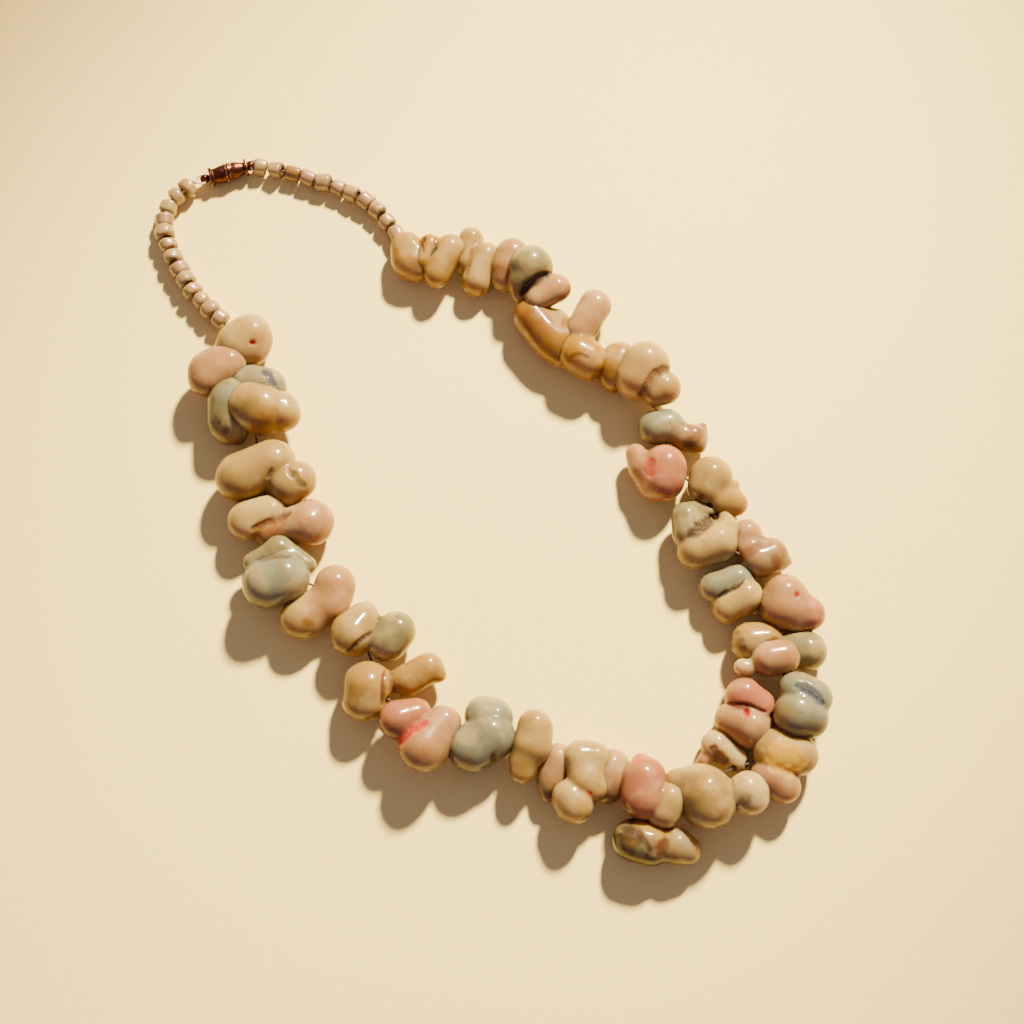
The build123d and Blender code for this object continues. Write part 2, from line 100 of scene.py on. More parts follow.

# Every shell is a body and a lip, each made of one or two eggs. An egg is the skin round two
# balls, whose middles and radii are read from the photograph. The tints are those of its body,
# its lip, its low side, painted as shade on the sides turned from the light, and its creases,
# painted as shade in creases and thread holes over the real colour inside its mouth. The join is
# the width of the fillet between body and lip in millimetres: narrow where they meet in a
# crease, and wide where they flow together.
Egg = namedtuple("Egg", "across down radius end_across end_down end_radius")
Tints = namedtuple("Tints", "body lip low crease")
Shell = namedtuple("Shell", "node slot tints body lip join")
SHELL_ROWS = [
    (1, "cream", "ivory blush salmon red",
     [(238, 345, 23, 250, 337, 23)], [(248, 349, 16, 253, 351, 14)], 2.0),
    (2, "pink", "blush blush orange rust",
     [(229, 363, 18, 208, 378, 20)], [(212, 364, 15, 205, 366, 14)], 2.4),
    (3, "grey", "sky sky mauve violet",
     [(252, 386, 22, 266, 388, 21)], [(245, 376, 10, 240, 374, 6)], 0.5),
    (4, "grey", "sage tan brown brown",
     [(232, 402, 25, 229, 420, 22)], [(229, 432, 13, 236, 436, 10)], 1.6),
    (5, "cream", "straw ivory orange amber",
     [(250, 406, 25, 262, 410, 26)], [(281, 408, 18, 283, 414, 18)], 0.4),
    (6, "cream", "cream cream amber olive",
     [(240, 478, 25, 273, 462, 23)], [(288, 484, 21, 297, 480, 20), (291, 498, 8, 291, 508, 4)], 0.5),
    (7, "pink", "ivory blush salmon rust",
     [(248, 521, 21, 270, 513, 18)], [(270, 533, 15, 292, 525, 18), (312, 521, 22, 310, 524, 23)], 0.5),
    (8, "grey", "sky sage mauve brown",
     [(268, 584, 26, 284, 578, 26)], [(253, 562, 10, 278, 549, 12), (280, 549, 12, 307, 565, 9)], 0.5),
    (9, "pink", "blush ivory ochre amber",
     [(335, 586, 21, 331, 602, 20), (328, 606, 17, 312, 618, 18)], [(299, 619, 20, 306, 607, 15)], 2.6),
    (10, "cream", "cream sage amber brown",
     [(352, 634, 23, 362, 622, 18), (366, 612, 9, 368, 605, 4)], [(396, 631, 20, 388, 642, 20)], 1.2),
    (11, "amber", "straw straw ochre rust",
     [(368, 686, 25, 364, 700, 22)], [(408, 680, 17, 428, 668, 16), (440, 675, 6, 444, 676, 2)], 1.6),
    (12, "pink", "pink blush rust red",
     [(398, 720, 20, 416, 713, 15)], [(424, 747, 26, 444, 722, 17)], 0.5),
    (13, "grey", "sky sky mauve brown",
     [(472, 748, 25, 490, 736, 26)], [(484, 716, 20, 494, 718, 20)], 0.4),
    (14, "cream", "cream cream tan brown",
     [(535, 727, 18, 532, 746, 20)], [(524, 762, 15, 522, 770, 13)], 1.2),
    (15, "pink", "blush brown amber brown",
     [(558, 760, 17, 553, 772, 16)], [(549, 788, 11, 548, 794, 8)], 2.4),
    (16, "cream", "ivory ivory tan rust",
     [(580, 757, 17, 594, 757, 16), (586, 778, 20, 592, 786, 17)], [(570, 798, 19, 574, 804, 20)], 0.5),
    (17, "pink", "blush tan amber brown",
     [(613, 766, 17, 610, 776, 18)], [(608, 782, 18, 606, 786, 18)], 2.0),
    (18, "pink", "pink ivory salmon red",
     [(644, 778, 22, 643, 797, 23), (641, 760, 6, 637, 758, 3)], [(670, 800, 19, 663, 811, 18)], 0.4),
    # Shell 19's dark moss body and low side are partly painted shadow, cast on it by shells 18 and 20
    (19, "olive", "moss cream moss brown",
     [(634, 840, 22, 650, 844, 22)], [(676, 846, 19, 686, 850, 15)], 1.0),
    (20, "amber", "cream white tan brown",
     [(706, 795, 29, 708, 802, 28), (678, 782, 14, 698, 779, 14)], [(748, 792, 21, 750, 797, 19)], 0.5),
    (21, "grey", "white blush mauve violet",
     [(716, 745, 15, 736, 760, 13)], [(704, 760, 7, 697, 764, 3)], 1.2),
    (22, "cream", "cream blush amber ochre",
     [(776, 752, 24, 796, 755, 22)], [(768, 776, 19, 783, 786, 18)], 0.5),
    (23, "pink", "pink blush salmon rust",
     [(745, 697, 20, 758, 706, 18)], [(729, 719, 15, 750, 727, 21), (770, 722, 7, 775, 722, 5)], 0.5),
    (24, "grey", "sky sky olive slate",
     [(797, 690, 19, 814, 698, 19)], [(797, 714, 24, 809, 718, 20)], 0.5),
    (25, "pink", "blush white tan brown",
     [(768, 659, 18, 783, 657, 17)], [(743, 667, 9, 749, 668, 9)], 0.5),
    (26, "cream", "straw sage tan rust",
     [(751, 642, 20, 765, 641, 19)], [(790, 650, 17, 807, 651, 20)], 0.5),
    (27, "pink", "blush pink orange red",
     [(785, 597, 23, 783, 607, 24)], [(807, 614, 18, 801, 618, 15)], 1.6),
    (28, "grey", "sky ivory tan brown",
     [(714, 587, 16, 738, 580, 16)], [(727, 608, 16, 744, 597, 19)], 0.6),
    (29, "pink", "tan blush tan brown",
     [(758, 560, 19, 771, 556, 18), (782, 561, 7, 789, 562, 3)], [(747, 534, 15, 744, 545, 13)], 2.0),
    (30, "grey", "sage ivory mauve brown",
     [(686, 518, 15, 689, 534, 17), (696, 508, 7, 712, 511, 5), (703, 528, 12, 712, 531, 11)],
     [(696, 551, 19, 718, 542, 20), (729, 528, 11, 721, 510, 4)], 0.5),
    (31, "cream", "cream straw tan brown",
     [(711, 478, 22, 707, 488, 20)], [(721, 500, 16, 735, 504, 13), (733, 488, 6, 736, 484, 4)], 0.6),
    (32, "pink", "pink blush salmon red",
     [(664, 468, 23, 662, 479, 23)], [(636, 455, 11, 643, 468, 15), (648, 482, 12, 652, 488, 12)], 1.0),
    (33, "grey", "sky tan olive brown",
     [(656, 428, 18, 668, 426, 17)], [(683, 437, 14, 692, 438, 14), (703, 426, 4, 700, 448, 5)], 1.2),
    (34, "grey", "ivory cream pink rust",
     [(645, 366, 25, 638, 378, 23)], [(664, 388, 17, 656, 392, 15)], 0.5),
    (35, "cream", "straw amber amber brown",
     [(620, 360, 19, 618, 366, 19)], [(615, 372, 18, 614, 376, 17)], 2.0),
    (36, "amber", "ochre blush amber rust",
     [(588, 360, 20, 578, 354, 20)], [(595, 306, 17, 580, 331, 16)], 0.7),
    (37, "amber", "amber ochre orange rust",
     [(533, 318, 20, 543, 330, 20), (556, 322, 13, 568, 338, 16)], [(554, 344, 19, 562, 352, 16)], 2.4),
    (38, "grey", "sage blush olive brown",
     [(531, 267, 22, 530, 272, 20), (520, 284, 13, 519, 295, 7)], [(556, 288, 15, 537, 299, 13)], 0.4),
    (39, "cream", "blush blush amber brown",
     [(512, 256, 18, 510, 266, 17)], [(506, 272, 15, 504, 278, 14)], 2.0),
    (40, "cream", "cream cream ochre amber",
     [(485, 257, 15, 476, 282, 15)], [(471, 240, 13, 466, 262, 13)], 0.5),
    (41, "cream", "straw ochre ochre rust",
     [(450, 249, 15, 437, 274, 14)], [(430, 246, 12, 424, 262, 12)], 0.6),
    (42, "amber", "ochre ochre orange rust",
     [(406, 248, 16, 408, 262, 17)], [(420, 256, 14, 418, 268, 14)], 1.6),
]
SHELLS = [
    Shell(f"shell_{number:02d}", f"shell_{slot}", Tints(*tints.split()),
          [Egg(*egg) for egg in body], [Egg(*egg) for egg in lip], join)
    for number, slot, tints, body, lip, join in SHELL_ROWS
]

# Grooves, drill holes, slits and stains, and a painted highlight and shadow: the shell's number, the
# line that each follows in the photograph, its width and depth in millimetres, its colour and
# how strongly it covers the shell. A stain has no depth.
Mark = namedtuple("Mark", "node line width depth colour cover")
MARK_ROWS = [
    (1, [(253, 343)], 1.3, 0.7, "red", 1.0),
    (3, [(262, 370), (268, 375), (272, 381), (276, 385)], 1.8, 0.3, "violet", 0.9),
    (3, [(250, 376)], 2.4, 0.0, "tan", 0.6),
    # Shell 4's sky patch at its top left is a painted bluish highlight band
    (4, [(230, 388), (219, 400)], 3.6, 0.0, "sky", 0.7),
    (4, [(215, 416), (220, 424)], 1.4, 0.0, "brown", 0.8),
    (4, [(226, 430)], 1.6, 0.0, "brown", 0.8),
    (5, [(243, 405)], 4.5, 0.0, "olive", 0.6),
    (5, [(262, 424)], 5.0, 0.0, "orange", 0.6),
    (6, [(272, 468), (268, 478)], 1.0, 0.3, "tan", 0.6),
    (6, [(288, 468), (293, 478)], 1.0, 0.4, "olive", 0.7),
    (6, [(293, 472), (298, 482), (306, 487)], 1.8, 0.25, "olive", 0.9),
    (6, [(232, 496), (256, 494), (284, 496)], 3.6, 0.0, "amber", 0.7),
    (7, [(252, 529), (264, 524), (278, 520), (290, 512)], 1.6, 0.3, "rust", 0.9),
    (7, [(250, 538), (268, 531), (284, 522)], 3.4, 0.0, "orange", 0.8),
    (8, [(257, 560), (274, 556), (291, 556)], 1.2, 0.1, "brown", 0.8),
    (9, [(307, 625)], 2.4, 0.1, "amber", 0.9),
    (10, [(348, 651), (360, 641), (372, 631)], 1.0, 0.3, "brown", 1.0),
    (11, [(385, 668), (383, 685), (382, 705)], 1.0, 0.4, "rust", 0.9),
    (11, [(405, 682), (420, 690)], 4.0, 0.0, "amber", 0.6),
    (12, [(394, 748), (410, 731), (427, 722)], 1.6, 0.4, "red", 1.0),
    (12, [(398, 728)], 3.4, 0.0, "mauve", 0.6),
    (13, [(494, 757)], 1.6, 0.2, "rust", 0.9),
    (14, [(523, 768)], 3.0, 0.0, "amber", 0.7),
    (16, [(600, 766), (600, 790)], 1.6, 0.0, "ochre", 0.7),
    (16, [(590, 794)], 1.2, 0.2, "red", 1.0),
    (16, [(586, 802), (580, 814)], 2.2, 0.0, "ochre", 0.6),
    (18, [(637, 759)], 2.0, 0.0, "red", 0.8),
    (18, [(636, 800), (652, 812)], 4.5, 0.0, "salmon", 0.6),
    (19, [(636, 825), (652, 827), (668, 832)], 3.4, 0.0, "ochre", 0.9),
    (19, [(622, 828), (638, 834), (650, 850)], 2.0, 0.15, "brown", 0.9),
    (19, [(636, 848), (644, 854)], 3.0, 0.0, "sage", 0.7),
    (19, [(666, 840), (659, 856)], 2.2, 0.15, "rust", 0.9),
    (19, [(680, 832), (690, 856)], 2.4, 0.0, "sky", 0.5),
    (20, [(740, 803), (750, 797)], 3.0, 0.0, "brown", 0.6),
    (20, [(678, 781), (696, 778)], 2.6, 0.0, "mauve", 0.6),
    (21, [(710, 748), (718, 756), (728, 763)], 2.6, 0.4, "mauve", 0.8),
    (22, [(768, 757), (783, 757), (800, 764)], 6.4, 0.3, "gold", 1.0),
    (23, [(728, 703), (742, 704), (753, 707), (766, 712)], 0.8, 0.5, "rust", 0.9),
    (23, [(746, 712)], 1.5, 0.8, "red", 1.0),
    # Shell 24's slate crescent and violet line are a painted shadow under its upper fold, over a shallow
    # groove
    (24, [(794, 686), (806, 688), (816, 695), (823, 704)], 2.2, 0.35, "slate", 1.0),
    (24, [(802, 690), (810, 693), (817, 699)], 0.9, 0.2, "violet", 0.9),
    (24, [(783, 712)], 4.0, 0.0, "ochre", 0.5),
    (26, [(767, 643), (773, 640), (779, 638)], 0.7, 0.4, "rust", 0.8),
    (26, [(744, 647)], 1.2, 0.0, "brown", 0.8),
    (26, [(742, 640)], 1.0, 0.0, "brown", 0.8),
    (26, [(738, 633)], 1.0, 0.0, "brown", 0.8),
    (27, [(797, 592), (797, 598)], 1.1, 0.6, "red", 1.0),
    (28, [(717, 598), (728, 591), (738, 586), (744, 581)], 0.8, 0.3, "dark", 1.0),
    (29, [(738, 555)], 3.0, 0.0, "orange", 0.8),
    (30, [(714, 517), (706, 522), (698, 529), (689, 536)], 2.6, 0.3, "brown", 1.0),
    (31, [(701, 497)], 1.2, 0.2, "rust", 0.9),
    (32, [(651, 458), (649, 468), (650, 476)], 2.2, 0.3, "red", 1.0),
    (32, [(652, 462), (649, 472)], 4.4, 0.0, "salmon", 0.7),
    (33, [(684, 446), (694, 443)], 3.0, 0.0, "brown", 0.6),
    (34, [(676, 371), (663, 369), (652, 376), (645, 386), (640, 396)], 1.8, 0.3, "rust", 0.8),
    (34, [(640, 372)], 4.0, 0.0, "salmon", 0.5),
    (36, [(601, 326), (595, 336)], 0.9, 0.3, "brown", 0.9),
    (36, [(572, 367), (588, 369)], 4.0, 0.0, "blush", 0.8),
    (36, [(570, 357), (580, 354), (589, 357)], 1.0, 0.1, "rust", 0.8),
    (38, [(547, 273), (536, 278), (527, 285), (521, 296)], 1.9, 0.45, "brown", 1.0),
    (38, [(569, 286), (570, 294)], 1.6, 0.0, "rust", 0.7),
    (40, [(472, 250), (469, 262), (466, 276)], 1.2, 0.2, "amber", 0.9),
    (41, [(426, 237), (422, 243), (424, 251)], 0.8, 0.1, "dark", 0.9),
    (41, [(435, 239), (436, 247), (430, 256)], 0.8, 0.1, "dark", 0.9),
    (41, [(462, 262), (459, 272), (455, 282)], 1.4, 0.2, "amber", 0.9),
    (42, [(396, 244), (414, 240)], 4.0, 0.0, "cream", 0.9),
    (42, [(408, 272), (420, 276)], 4.0, 0.0, "blush", 0.8),
    (42, [(426, 237), (422, 243), (424, 251)], 0.8, 0.1, "dark", 0.9),
    (42, [(435, 239), (436, 247), (430, 256)], 0.8, 0.1, "dark", 0.9),
    (42, [(419, 262)], 2.4, 0.0, "rust", 0.8),
]
MARKS = [Mark(f"shell_{number:02d}", *rest) for number, *rest in MARK_ROWS]

# A run of small beads: its node, and the settings that it has of its own
BeadRun = namedtuple("BeadRun", "node diameter length edge slide dirt amber")

# Up to the first distance from a shell or bead the thread moves wholly with it, and beyond the
# second not at all. The third is how quickly the pull of a farther one fades.
THREAD_NEAR = 6 * MM
THREAD_FAR = 11 * MM
THREAD_FADE = 4 * MM

# How far from the clasp the thread is still off-white, and from where it is painted dark brown as shade, as
# among the shells
THREAD_PALE = 8 * MM
THREAD_SHADED = 14 * MM

# Points of a solid's loose triangles that are nearer than this are one
WELD = 0.002 * MM

# How wide the change from body's to lip's tint is, to each side, and how far apart the uneven
# places along the edge of a mark are
LIP_BLEND = 0.9 * MM
RAGGED_SIZE = 2.2 * MM

# How strongly each kind of shell is speckled
SPECKLES = {
    "shell_cream": 0.35,
    "shell_pink": 0.15,
    "shell_grey": 0.45,
    "shell_amber": 0.4,
    "shell_olive": 0.5,
}

# The clasp's set of dents. Those of a shell follow its number.
METAL_SEED = 7


class ShellSettings(bpy.types.PropertyGroup):
    """How finely the shells are made, and how far they depart from even forms."""

    grain: FloatProperty(name="Grain", description="Size of the faces", default=0.32 * MM, unit="LENGTH")
    depth: FloatVectorProperty(
        name="Depth", description="Share of its light that a colour keeps",
        default=(0.92, 0.87, 0.80), subtype="COLOR",
    )
    softening: IntProperty(name="Softening", description="Rounds of smoothing", default=2)
    fillet: FloatProperty(
        name="Fillet", description="Width of a lobe's joins", default=1.6 * MM, unit="LENGTH"
    )
    pile_share: FloatProperty(
        name="Pile", description="Share of a solid's height off the page", default=0.35, subtype="FACTOR"
    )
    raise_share: FloatProperty(
        name="Raise", description="How far small ends rise", default=0.75, subtype="FACTOR"
    )
    # The low tint is painted shade on the sides of a shell turned away from the light
    shade_tint_share: FloatProperty(
        name="Low tint", description="Strength of the low tint", default=0.55, subtype="FACTOR"
    )
    dent: FloatProperty(name="Dent", description="Depth of uneven places", default=0.09 * MM, unit="LENGTH")
    dent_size: FloatProperty(
        name="Dent size", description="How far apart they are", default=8 * MM, unit="LENGTH"
    )
    crease: FloatProperty(
        name="Crease", description="Reach of a crease's colour", default=0.7 * MM, unit="LENGTH"
    )
    hole: FloatProperty(name="Hole", description="Radius of a thread hole", default=0.9 * MM, unit="LENGTH")
    hole_share: FloatProperty(
        name="Hole depth", description="Share of its radius", default=0.4, subtype="FACTOR"
    )


class BeadSettings(bpy.types.PropertyGroup):
    """The small shell beads: a run left of the clasp and a run right of it."""

    left_diameter: FloatProperty(
        name="Left diameter", description="Across a left bead", default=4.6 * MM, unit="LENGTH"
    )
    left_length: FloatProperty(
        name="Left length", description="Along a left bead", default=3.2 * MM, unit="LENGTH"
    )
    left_edge: FloatProperty(
        name="Left edge", description="Radius of the edges", default=1.4 * MM, unit="LENGTH"
    )
    left_slide: FloatProperty(
        name="Left slide", description="How many beads the first one slides", default=0.2
    )
    left_dirt: FloatProperty(
        name="Left dirt", description="Darkening between the beads", default=0.25, subtype="FACTOR"
    )
    left_amber: IntProperty(name="Left amber", description="The bead that is amber, if any", default=0)
    right_diameter: FloatProperty(
        name="Right diameter", description="Across a right bead", default=4.0 * MM, unit="LENGTH"
    )
    right_length: FloatProperty(
        name="Right length", description="Along a right bead", default=3.65 * MM, unit="LENGTH"
    )
    right_edge: FloatProperty(
        name="Right edge", description="Radius of the edges", default=1.1 * MM, unit="LENGTH"
    )
    right_slide: FloatProperty(
        name="Right slide", description="How many beads the first one slides", default=0.85
    )
    right_dirt: FloatProperty(
        name="Right dirt", description="Darkening between the beads", default=0.8, subtype="FACTOR"
    )
    right_amber: IntProperty(name="Right amber", description="The bead that is amber, if any", default=3)
    bore: FloatProperty(name="Bore", description="Hole for the thread", default=0.6 * MM, unit="LENGTH")
    tilt: FloatProperty(
        name="Tilt", description="How far a bead leans", default=math.radians(13), unit="ROTATION"
    )
    spread: FloatProperty(name="Spread", description="Difference in size", default=0.18, subtype="FACTOR")
    uneven: FloatProperty(
        name="Unevenness", description="Depth of the dents", default=0.8 * MM, unit="LENGTH"
    )
    seed: IntProperty(name="Seed", description="Another set of beads", default=4)


class ClaspSettings(bpy.types.PropertyGroup):
    """The clasp's worn and plated metal."""

    grain: FloatProperty(name="Grain", description="Size of the faces", default=0.085 * MM, unit="LENGTH")
    dent: FloatProperty(name="Dent", description="Depth of uneven places", default=0.03 * MM, unit="LENGTH")
    dent_size: FloatProperty(
        name="Dent size", description="How far apart they are", default=1.6 * MM, unit="LENGTH"
    )
    ridge: FloatProperty(name="Ridge", description="Height of a worn edge", default=0.06 * MM, unit="LENGTH")
    tarnish: FloatVectorProperty(
        name="Tarnish", description="Colour of the plating",
        default=(0.070, 0.016, 0.009), subtype="COLOR",
    )
    wear: FloatVectorProperty(
        name="Wear", description="Colour of the worn edges",
        default=(0.60, 0.36, 0.14), subtype="COLOR",
    )


class StageSettings(bpy.types.PropertyGroup):
    """The page that the necklace lies on, and the light."""

    page: FloatVectorProperty(
        name="Page", description="Colour of the page",
        default=(0.95, 0.77, 0.24), subtype="COLOR",
    )
    page_half: FloatProperty(
        name="Page half", description="Half of the page's width", default=2.5, unit="LENGTH"
    )
    key: FloatProperty(name="Key light", description="Power of the main light", default=245.0, unit="POWER")
    key_colour: FloatVectorProperty(
        name="Key colour", description="Colour of the main light",
        default=(1.0, 0.83, 0.54), subtype="COLOR",
    )
    key_way: FloatVectorProperty(
        name="Key way", description="Its way up the photo, to its right and off the page",
        default=(0.64, 0.28, 0.57), subtype="XYZ",
    )
    key_reach: FloatProperty(name="Key reach", description="How far off it is", default=0.95, unit="LENGTH")
    key_size: FloatProperty(
        name="Key size", description="Radius of the main light", default=0.05, unit="LENGTH"
    )
    pool: FloatProperty(
        name="Pool", description="Angle of its beam", default=math.radians(25), unit="ROTATION"
    )
    fill: FloatProperty(name="Fill", description="Strength of the light from all round", default=0.45)
    fill_colour: FloatVectorProperty(
        name="Fill colour", description="Colour of the light from all round",
        default=(0.74, 0.60, 0.92), subtype="COLOR",
    )


def linear(name):
    """A named colour as linear red, green and blue."""
    shares = [part / 255 for part in COLOURS[name]]
    return np.array([s / 12.92 if s <= 0.04045 else ((s + 0.055) / 1.055) ** 2.4 for s in shares])


def smooth_step(value, low, high):
    """0 below low, 1 above high, and an even rise between."""
    share = np.clip((value - low) / (high - low), 0, 1)
    return share * share * (3 - 2 * share)


def photo_axes():
    """The photo camera's right, up and back directions."""
    turn, lift = PHOTO_AZIMUTH, PHOTO_ELEVATION
    right = Vector((math.cos(turn), math.sin(turn), 0))
    back = Vector((math.sin(turn) * math.cos(lift), -math.cos(turn) * math.cos(lift), math.sin(lift)))
    return right, back.cross(right), back


def photo_pixels(points):
    """Where points are seen in the photograph, and how many pixels a metre is there."""
    right, up, back = [np.array(axis) for axis in photo_axes()]
    eye = np.array(PHOTO_MIDDLE) + back * PHOTO_DISTANCE
    away = points - eye
    depth = -(away @ back)
    scale = PHOTO_HALF / math.tan(PHOTO_ANGLE / 2) / depth
    return np.stack([PHOTO_HALF + (away @ right) * scale, PHOTO_HALF - (away @ up) * scale], 1), scale


class Value:
    """A number or vector that varies. Arithmetic on it adds nodes to its tree."""

    def __init__(self, nodes, socket):
        self.nodes = nodes
        self.socket = socket

    def __add__(self, other):
        return self.nodes.maths("ADD", self, other)

    def __sub__(self, other):
        return self.nodes.maths("SUBTRACT", self, other)

    def __rsub__(self, other):
        return self.nodes.maths("SUBTRACT", other, self)

    def __mul__(self, other):
        return self.nodes.maths("MULTIPLY", self, other)

    def __truediv__(self, other):
        return self.nodes.maths("DIVIDE", self, other)

    def __rtruediv__(self, other):
        return self.nodes.maths("DIVIDE", other, self)

    __radd__ = __add__
    __rmul__ = __mul__

    def over(self, low, high):
        """0 where the value is below low, 1 above high, and a soft edge between."""
        settings = {"interpolation_type": "SMOOTHSTEP"}
        inputs = {"Value": self, "From Min": low, "From Max": high}
        return self.nodes.value("ShaderNodeMapRange", settings, inputs)


class Nodes:
    """A tree of nodes under construction."""

    def __init__(self, tree):
        self.tree = tree

    def node(self, kind, settings=None, inputs=None):
        """A node of this type, with its settings first and then its inputs' values or links."""
        made = self.tree.nodes.new(kind)
        for name, setting in (settings or {}).items():
            setattr(made, name, setting)
        for name, given in (inputs or {}).items():
            if isinstance(given, Value):
                self.tree.links.new(given.socket, made.inputs[name])
            else:
                made.inputs[name].default_value = given
        return made

    def value(self, kind, settings=None, inputs=None, output=0):
        """One output of a new node, as a value."""
        return Value(self, self.node(kind, settings, inputs).outputs[output])

    def maths(self, operation, first, second):
        """A sum, product or the like of two numbers."""
        return self.value("ShaderNodeMath", {"operation": operation}, {0: first, 1: second})


class Paint(Nodes):
    """A material under construction."""

    def __init__(self, name):
        self.material = bpy.data.materials.new(name)
        self.material.use_nodes = True
        super().__init__(self.material.node_tree)
        self.tree.nodes.clear()
        self.place = self.value("ShaderNodeTexCoord", output="Object")

    def attribute(self, name, output="Fac"):
        """What the mesh keeps under this name."""
        return self.value("ShaderNodeAttribute", {"attribute_name": name}, output=output)

    def noise(self, scale, detail=3.0, roughness=0.5, stretch=None):
        """Soft random values from 0 to 1, whose features are a metre divided by scale across."""
        place = self.place
        if stretch:
            place = self.value("ShaderNodeMapping", None, {"Vector": place, "Scale": stretch})
        inputs = {"Vector": place, "Scale": scale, "Detail": detail, "Roughness": roughness}
        return self.value("ShaderNodeTexNoise", None, inputs)

    def cells(self, scale):
        """How far the nearest of many scattered points is."""
        return self.value("ShaderNodeTexVoronoi", None, {"Vector": self.place, "Scale": scale})

    def blend(self, share, first, second):
        """The first colour, with this share of the second over it."""
        under, over = [c if isinstance(c, Value) else (*c, 1.0) for c in (first, second)]
        return self.value("ShaderNodeMix", {"data_type": "RGBA"}, {0: share, 6: under, 7: over}, 2)

    def bump(self, height, strength, distance, under=None):
        """A relief of this height, over another if one is given."""
        inputs = {"Height": height, "Strength": strength, "Distance": distance}
        if under is not None:
            inputs["Normal"] = under
        return self.value("ShaderNodeBump", None, inputs)

    def finish(self, inputs):
        """Closes the material with one surface of these inputs."""
        surface = self.value("ShaderNodeBsdfPrincipled", None, inputs)
        self.node("ShaderNodeOutputMaterial", None, {"Surface": surface})
        return self.material


def shell_finish(name, speckle, depth):
    """Polished shell: its own tint, clouds, growth lines, specks, painted shade in its creases and thread
    holes, and a wet gloss.
    """
    paint = Paint(name)
    tint = paint.attribute("tint", "Color")
    crease = paint.attribute("crease", "Color")
    hollow = paint.attribute("hollow")
    cover = paint.attribute("cover")
    cloud = paint.noise(200, 2, 0.5)
    haze = paint.noise(480, 3, 0.55)
    fine = paint.noise(1700, 4, 0.6)
    veins = paint.noise(340, 3, 0.6, (1.0, 0.25, 0.8))
    colour = paint.blend(cloud.over(0.48, 0.66) * 0.40, tint, linear("white") * depth)
    colour = paint.blend((1 - cloud).over(0.52, 0.70) * 0.35, colour, linear("straw") * depth)
    colour = paint.blend(veins.over(0.54, 0.66) * 0.30, colour, linear("amber"))
    specks = (1 - paint.cells(1100).over(0.12, 0.26)) * haze.over(0.50, 0.58)
    colour = paint.blend(specks * speckle, colour, linear("rust"))
    # Painted shade in creases and thread holes, in the crease tint, which is also the real colour inside the
    # mouth
    dirt = (hollow + (fine - 0.5) * 0.4).over(0.15, 0.80)
    colour = paint.blend(dirt * 0.80, colour, crease)
    patch = cover * (0.55 + fine * 0.7).over(0.55, 1.0)
    colour = paint.blend(patch, colour, paint.attribute("mark", "Color"))
    waves = paint.bump(veins, 0.10, 0.2 * MM)
    pores = paint.bump(fine, 0.06, 0.08 * MM, waves)
    return paint.finish({
        "Base Color": colour,
        "Roughness": 0.26 + haze * 0.10 + hollow * 0.45 + cover * 0.40,
        "Specular IOR Level": 0.12,
        "Coat Weight": (1 - hollow) * (1 - cover * 0.8) * 0.5,
        "Coat Roughness": 0.06,
        "Subsurface Weight": 0.85,
        "Subsurface Radius": (1.0, 0.66, 0.30),
        "Subsurface Scale": 6.5 * MM,
        "Normal": pores,
    })


def bead_finish():
    """Small dull shell beads: each with its own tone, and darker brown towards their ends, where they meet.
    """
    paint = Paint("small_shell_beads")
    tone = paint.attribute("tone")
    rim = paint.attribute("rim")
    cloud = paint.noise(500, 3)
    fine = paint.noise(2200, 4, 0.6)
    colour = paint.blend(tone, linear("blush"), linear("ivory"))
    colour = paint.blend(tone.over(0.78, 0.84), colour, linear("amber"))
    colour = paint.blend(cloud.over(0.45, 0.70) * 0.40, colour, linear("tan"))
    # Darker and rougher brown towards each bead's ends, where the beads meet
    dirt = (rim + (fine - 0.5) * 0.7).over(0.62, 1.02) * paint.attribute("dirt")
    colour = paint.blend(dirt, colour, linear("brown"))
    return paint.finish({
        "Base Color": colour,
        "Roughness": 0.30 + dirt * 0.4,
        "Coat Weight": (1 - dirt) * 0.4,
        "Coat Roughness": 0.12,
        "Subsurface Weight": 0.15,
        "Subsurface Radius": (1.0, 0.55, 0.28),
        "Subsurface Scale": 1.5 * MM,
        "Normal": paint.bump(fine, 0.25, 0.15 * MM),
    })


def clasp_finish(settings):
    """Red-brown plated metal, worn to brass on its edges and dulled in its grooves."""
    paint = Paint("tarnished_plating")
    edge = paint.attribute("edge")
    groove = paint.attribute("groove")
    cloud = paint.noise(900, 3)
    fine = paint.noise(5200, 4, 0.6)
    worn = (edge + (cloud - 0.5) * 0.9).over(0.45, 0.75)
    colour = paint.blend(cloud.over(0.4, 0.7), settings.tarnish, linear("rust"))
    colour = paint.blend(groove * 0.7, colour, linear("dark"))
    colour = paint.blend(worn, colour, settings.wear)
    return paint.finish({
        "Base Color": colour,
        "Metallic": 0.85 - groove * 0.4,
        "Roughness": 0.24 + fine * 0.18 + groove * 0.3,
        "Normal": paint.bump(fine, 0.30, 0.06 * MM),
    })


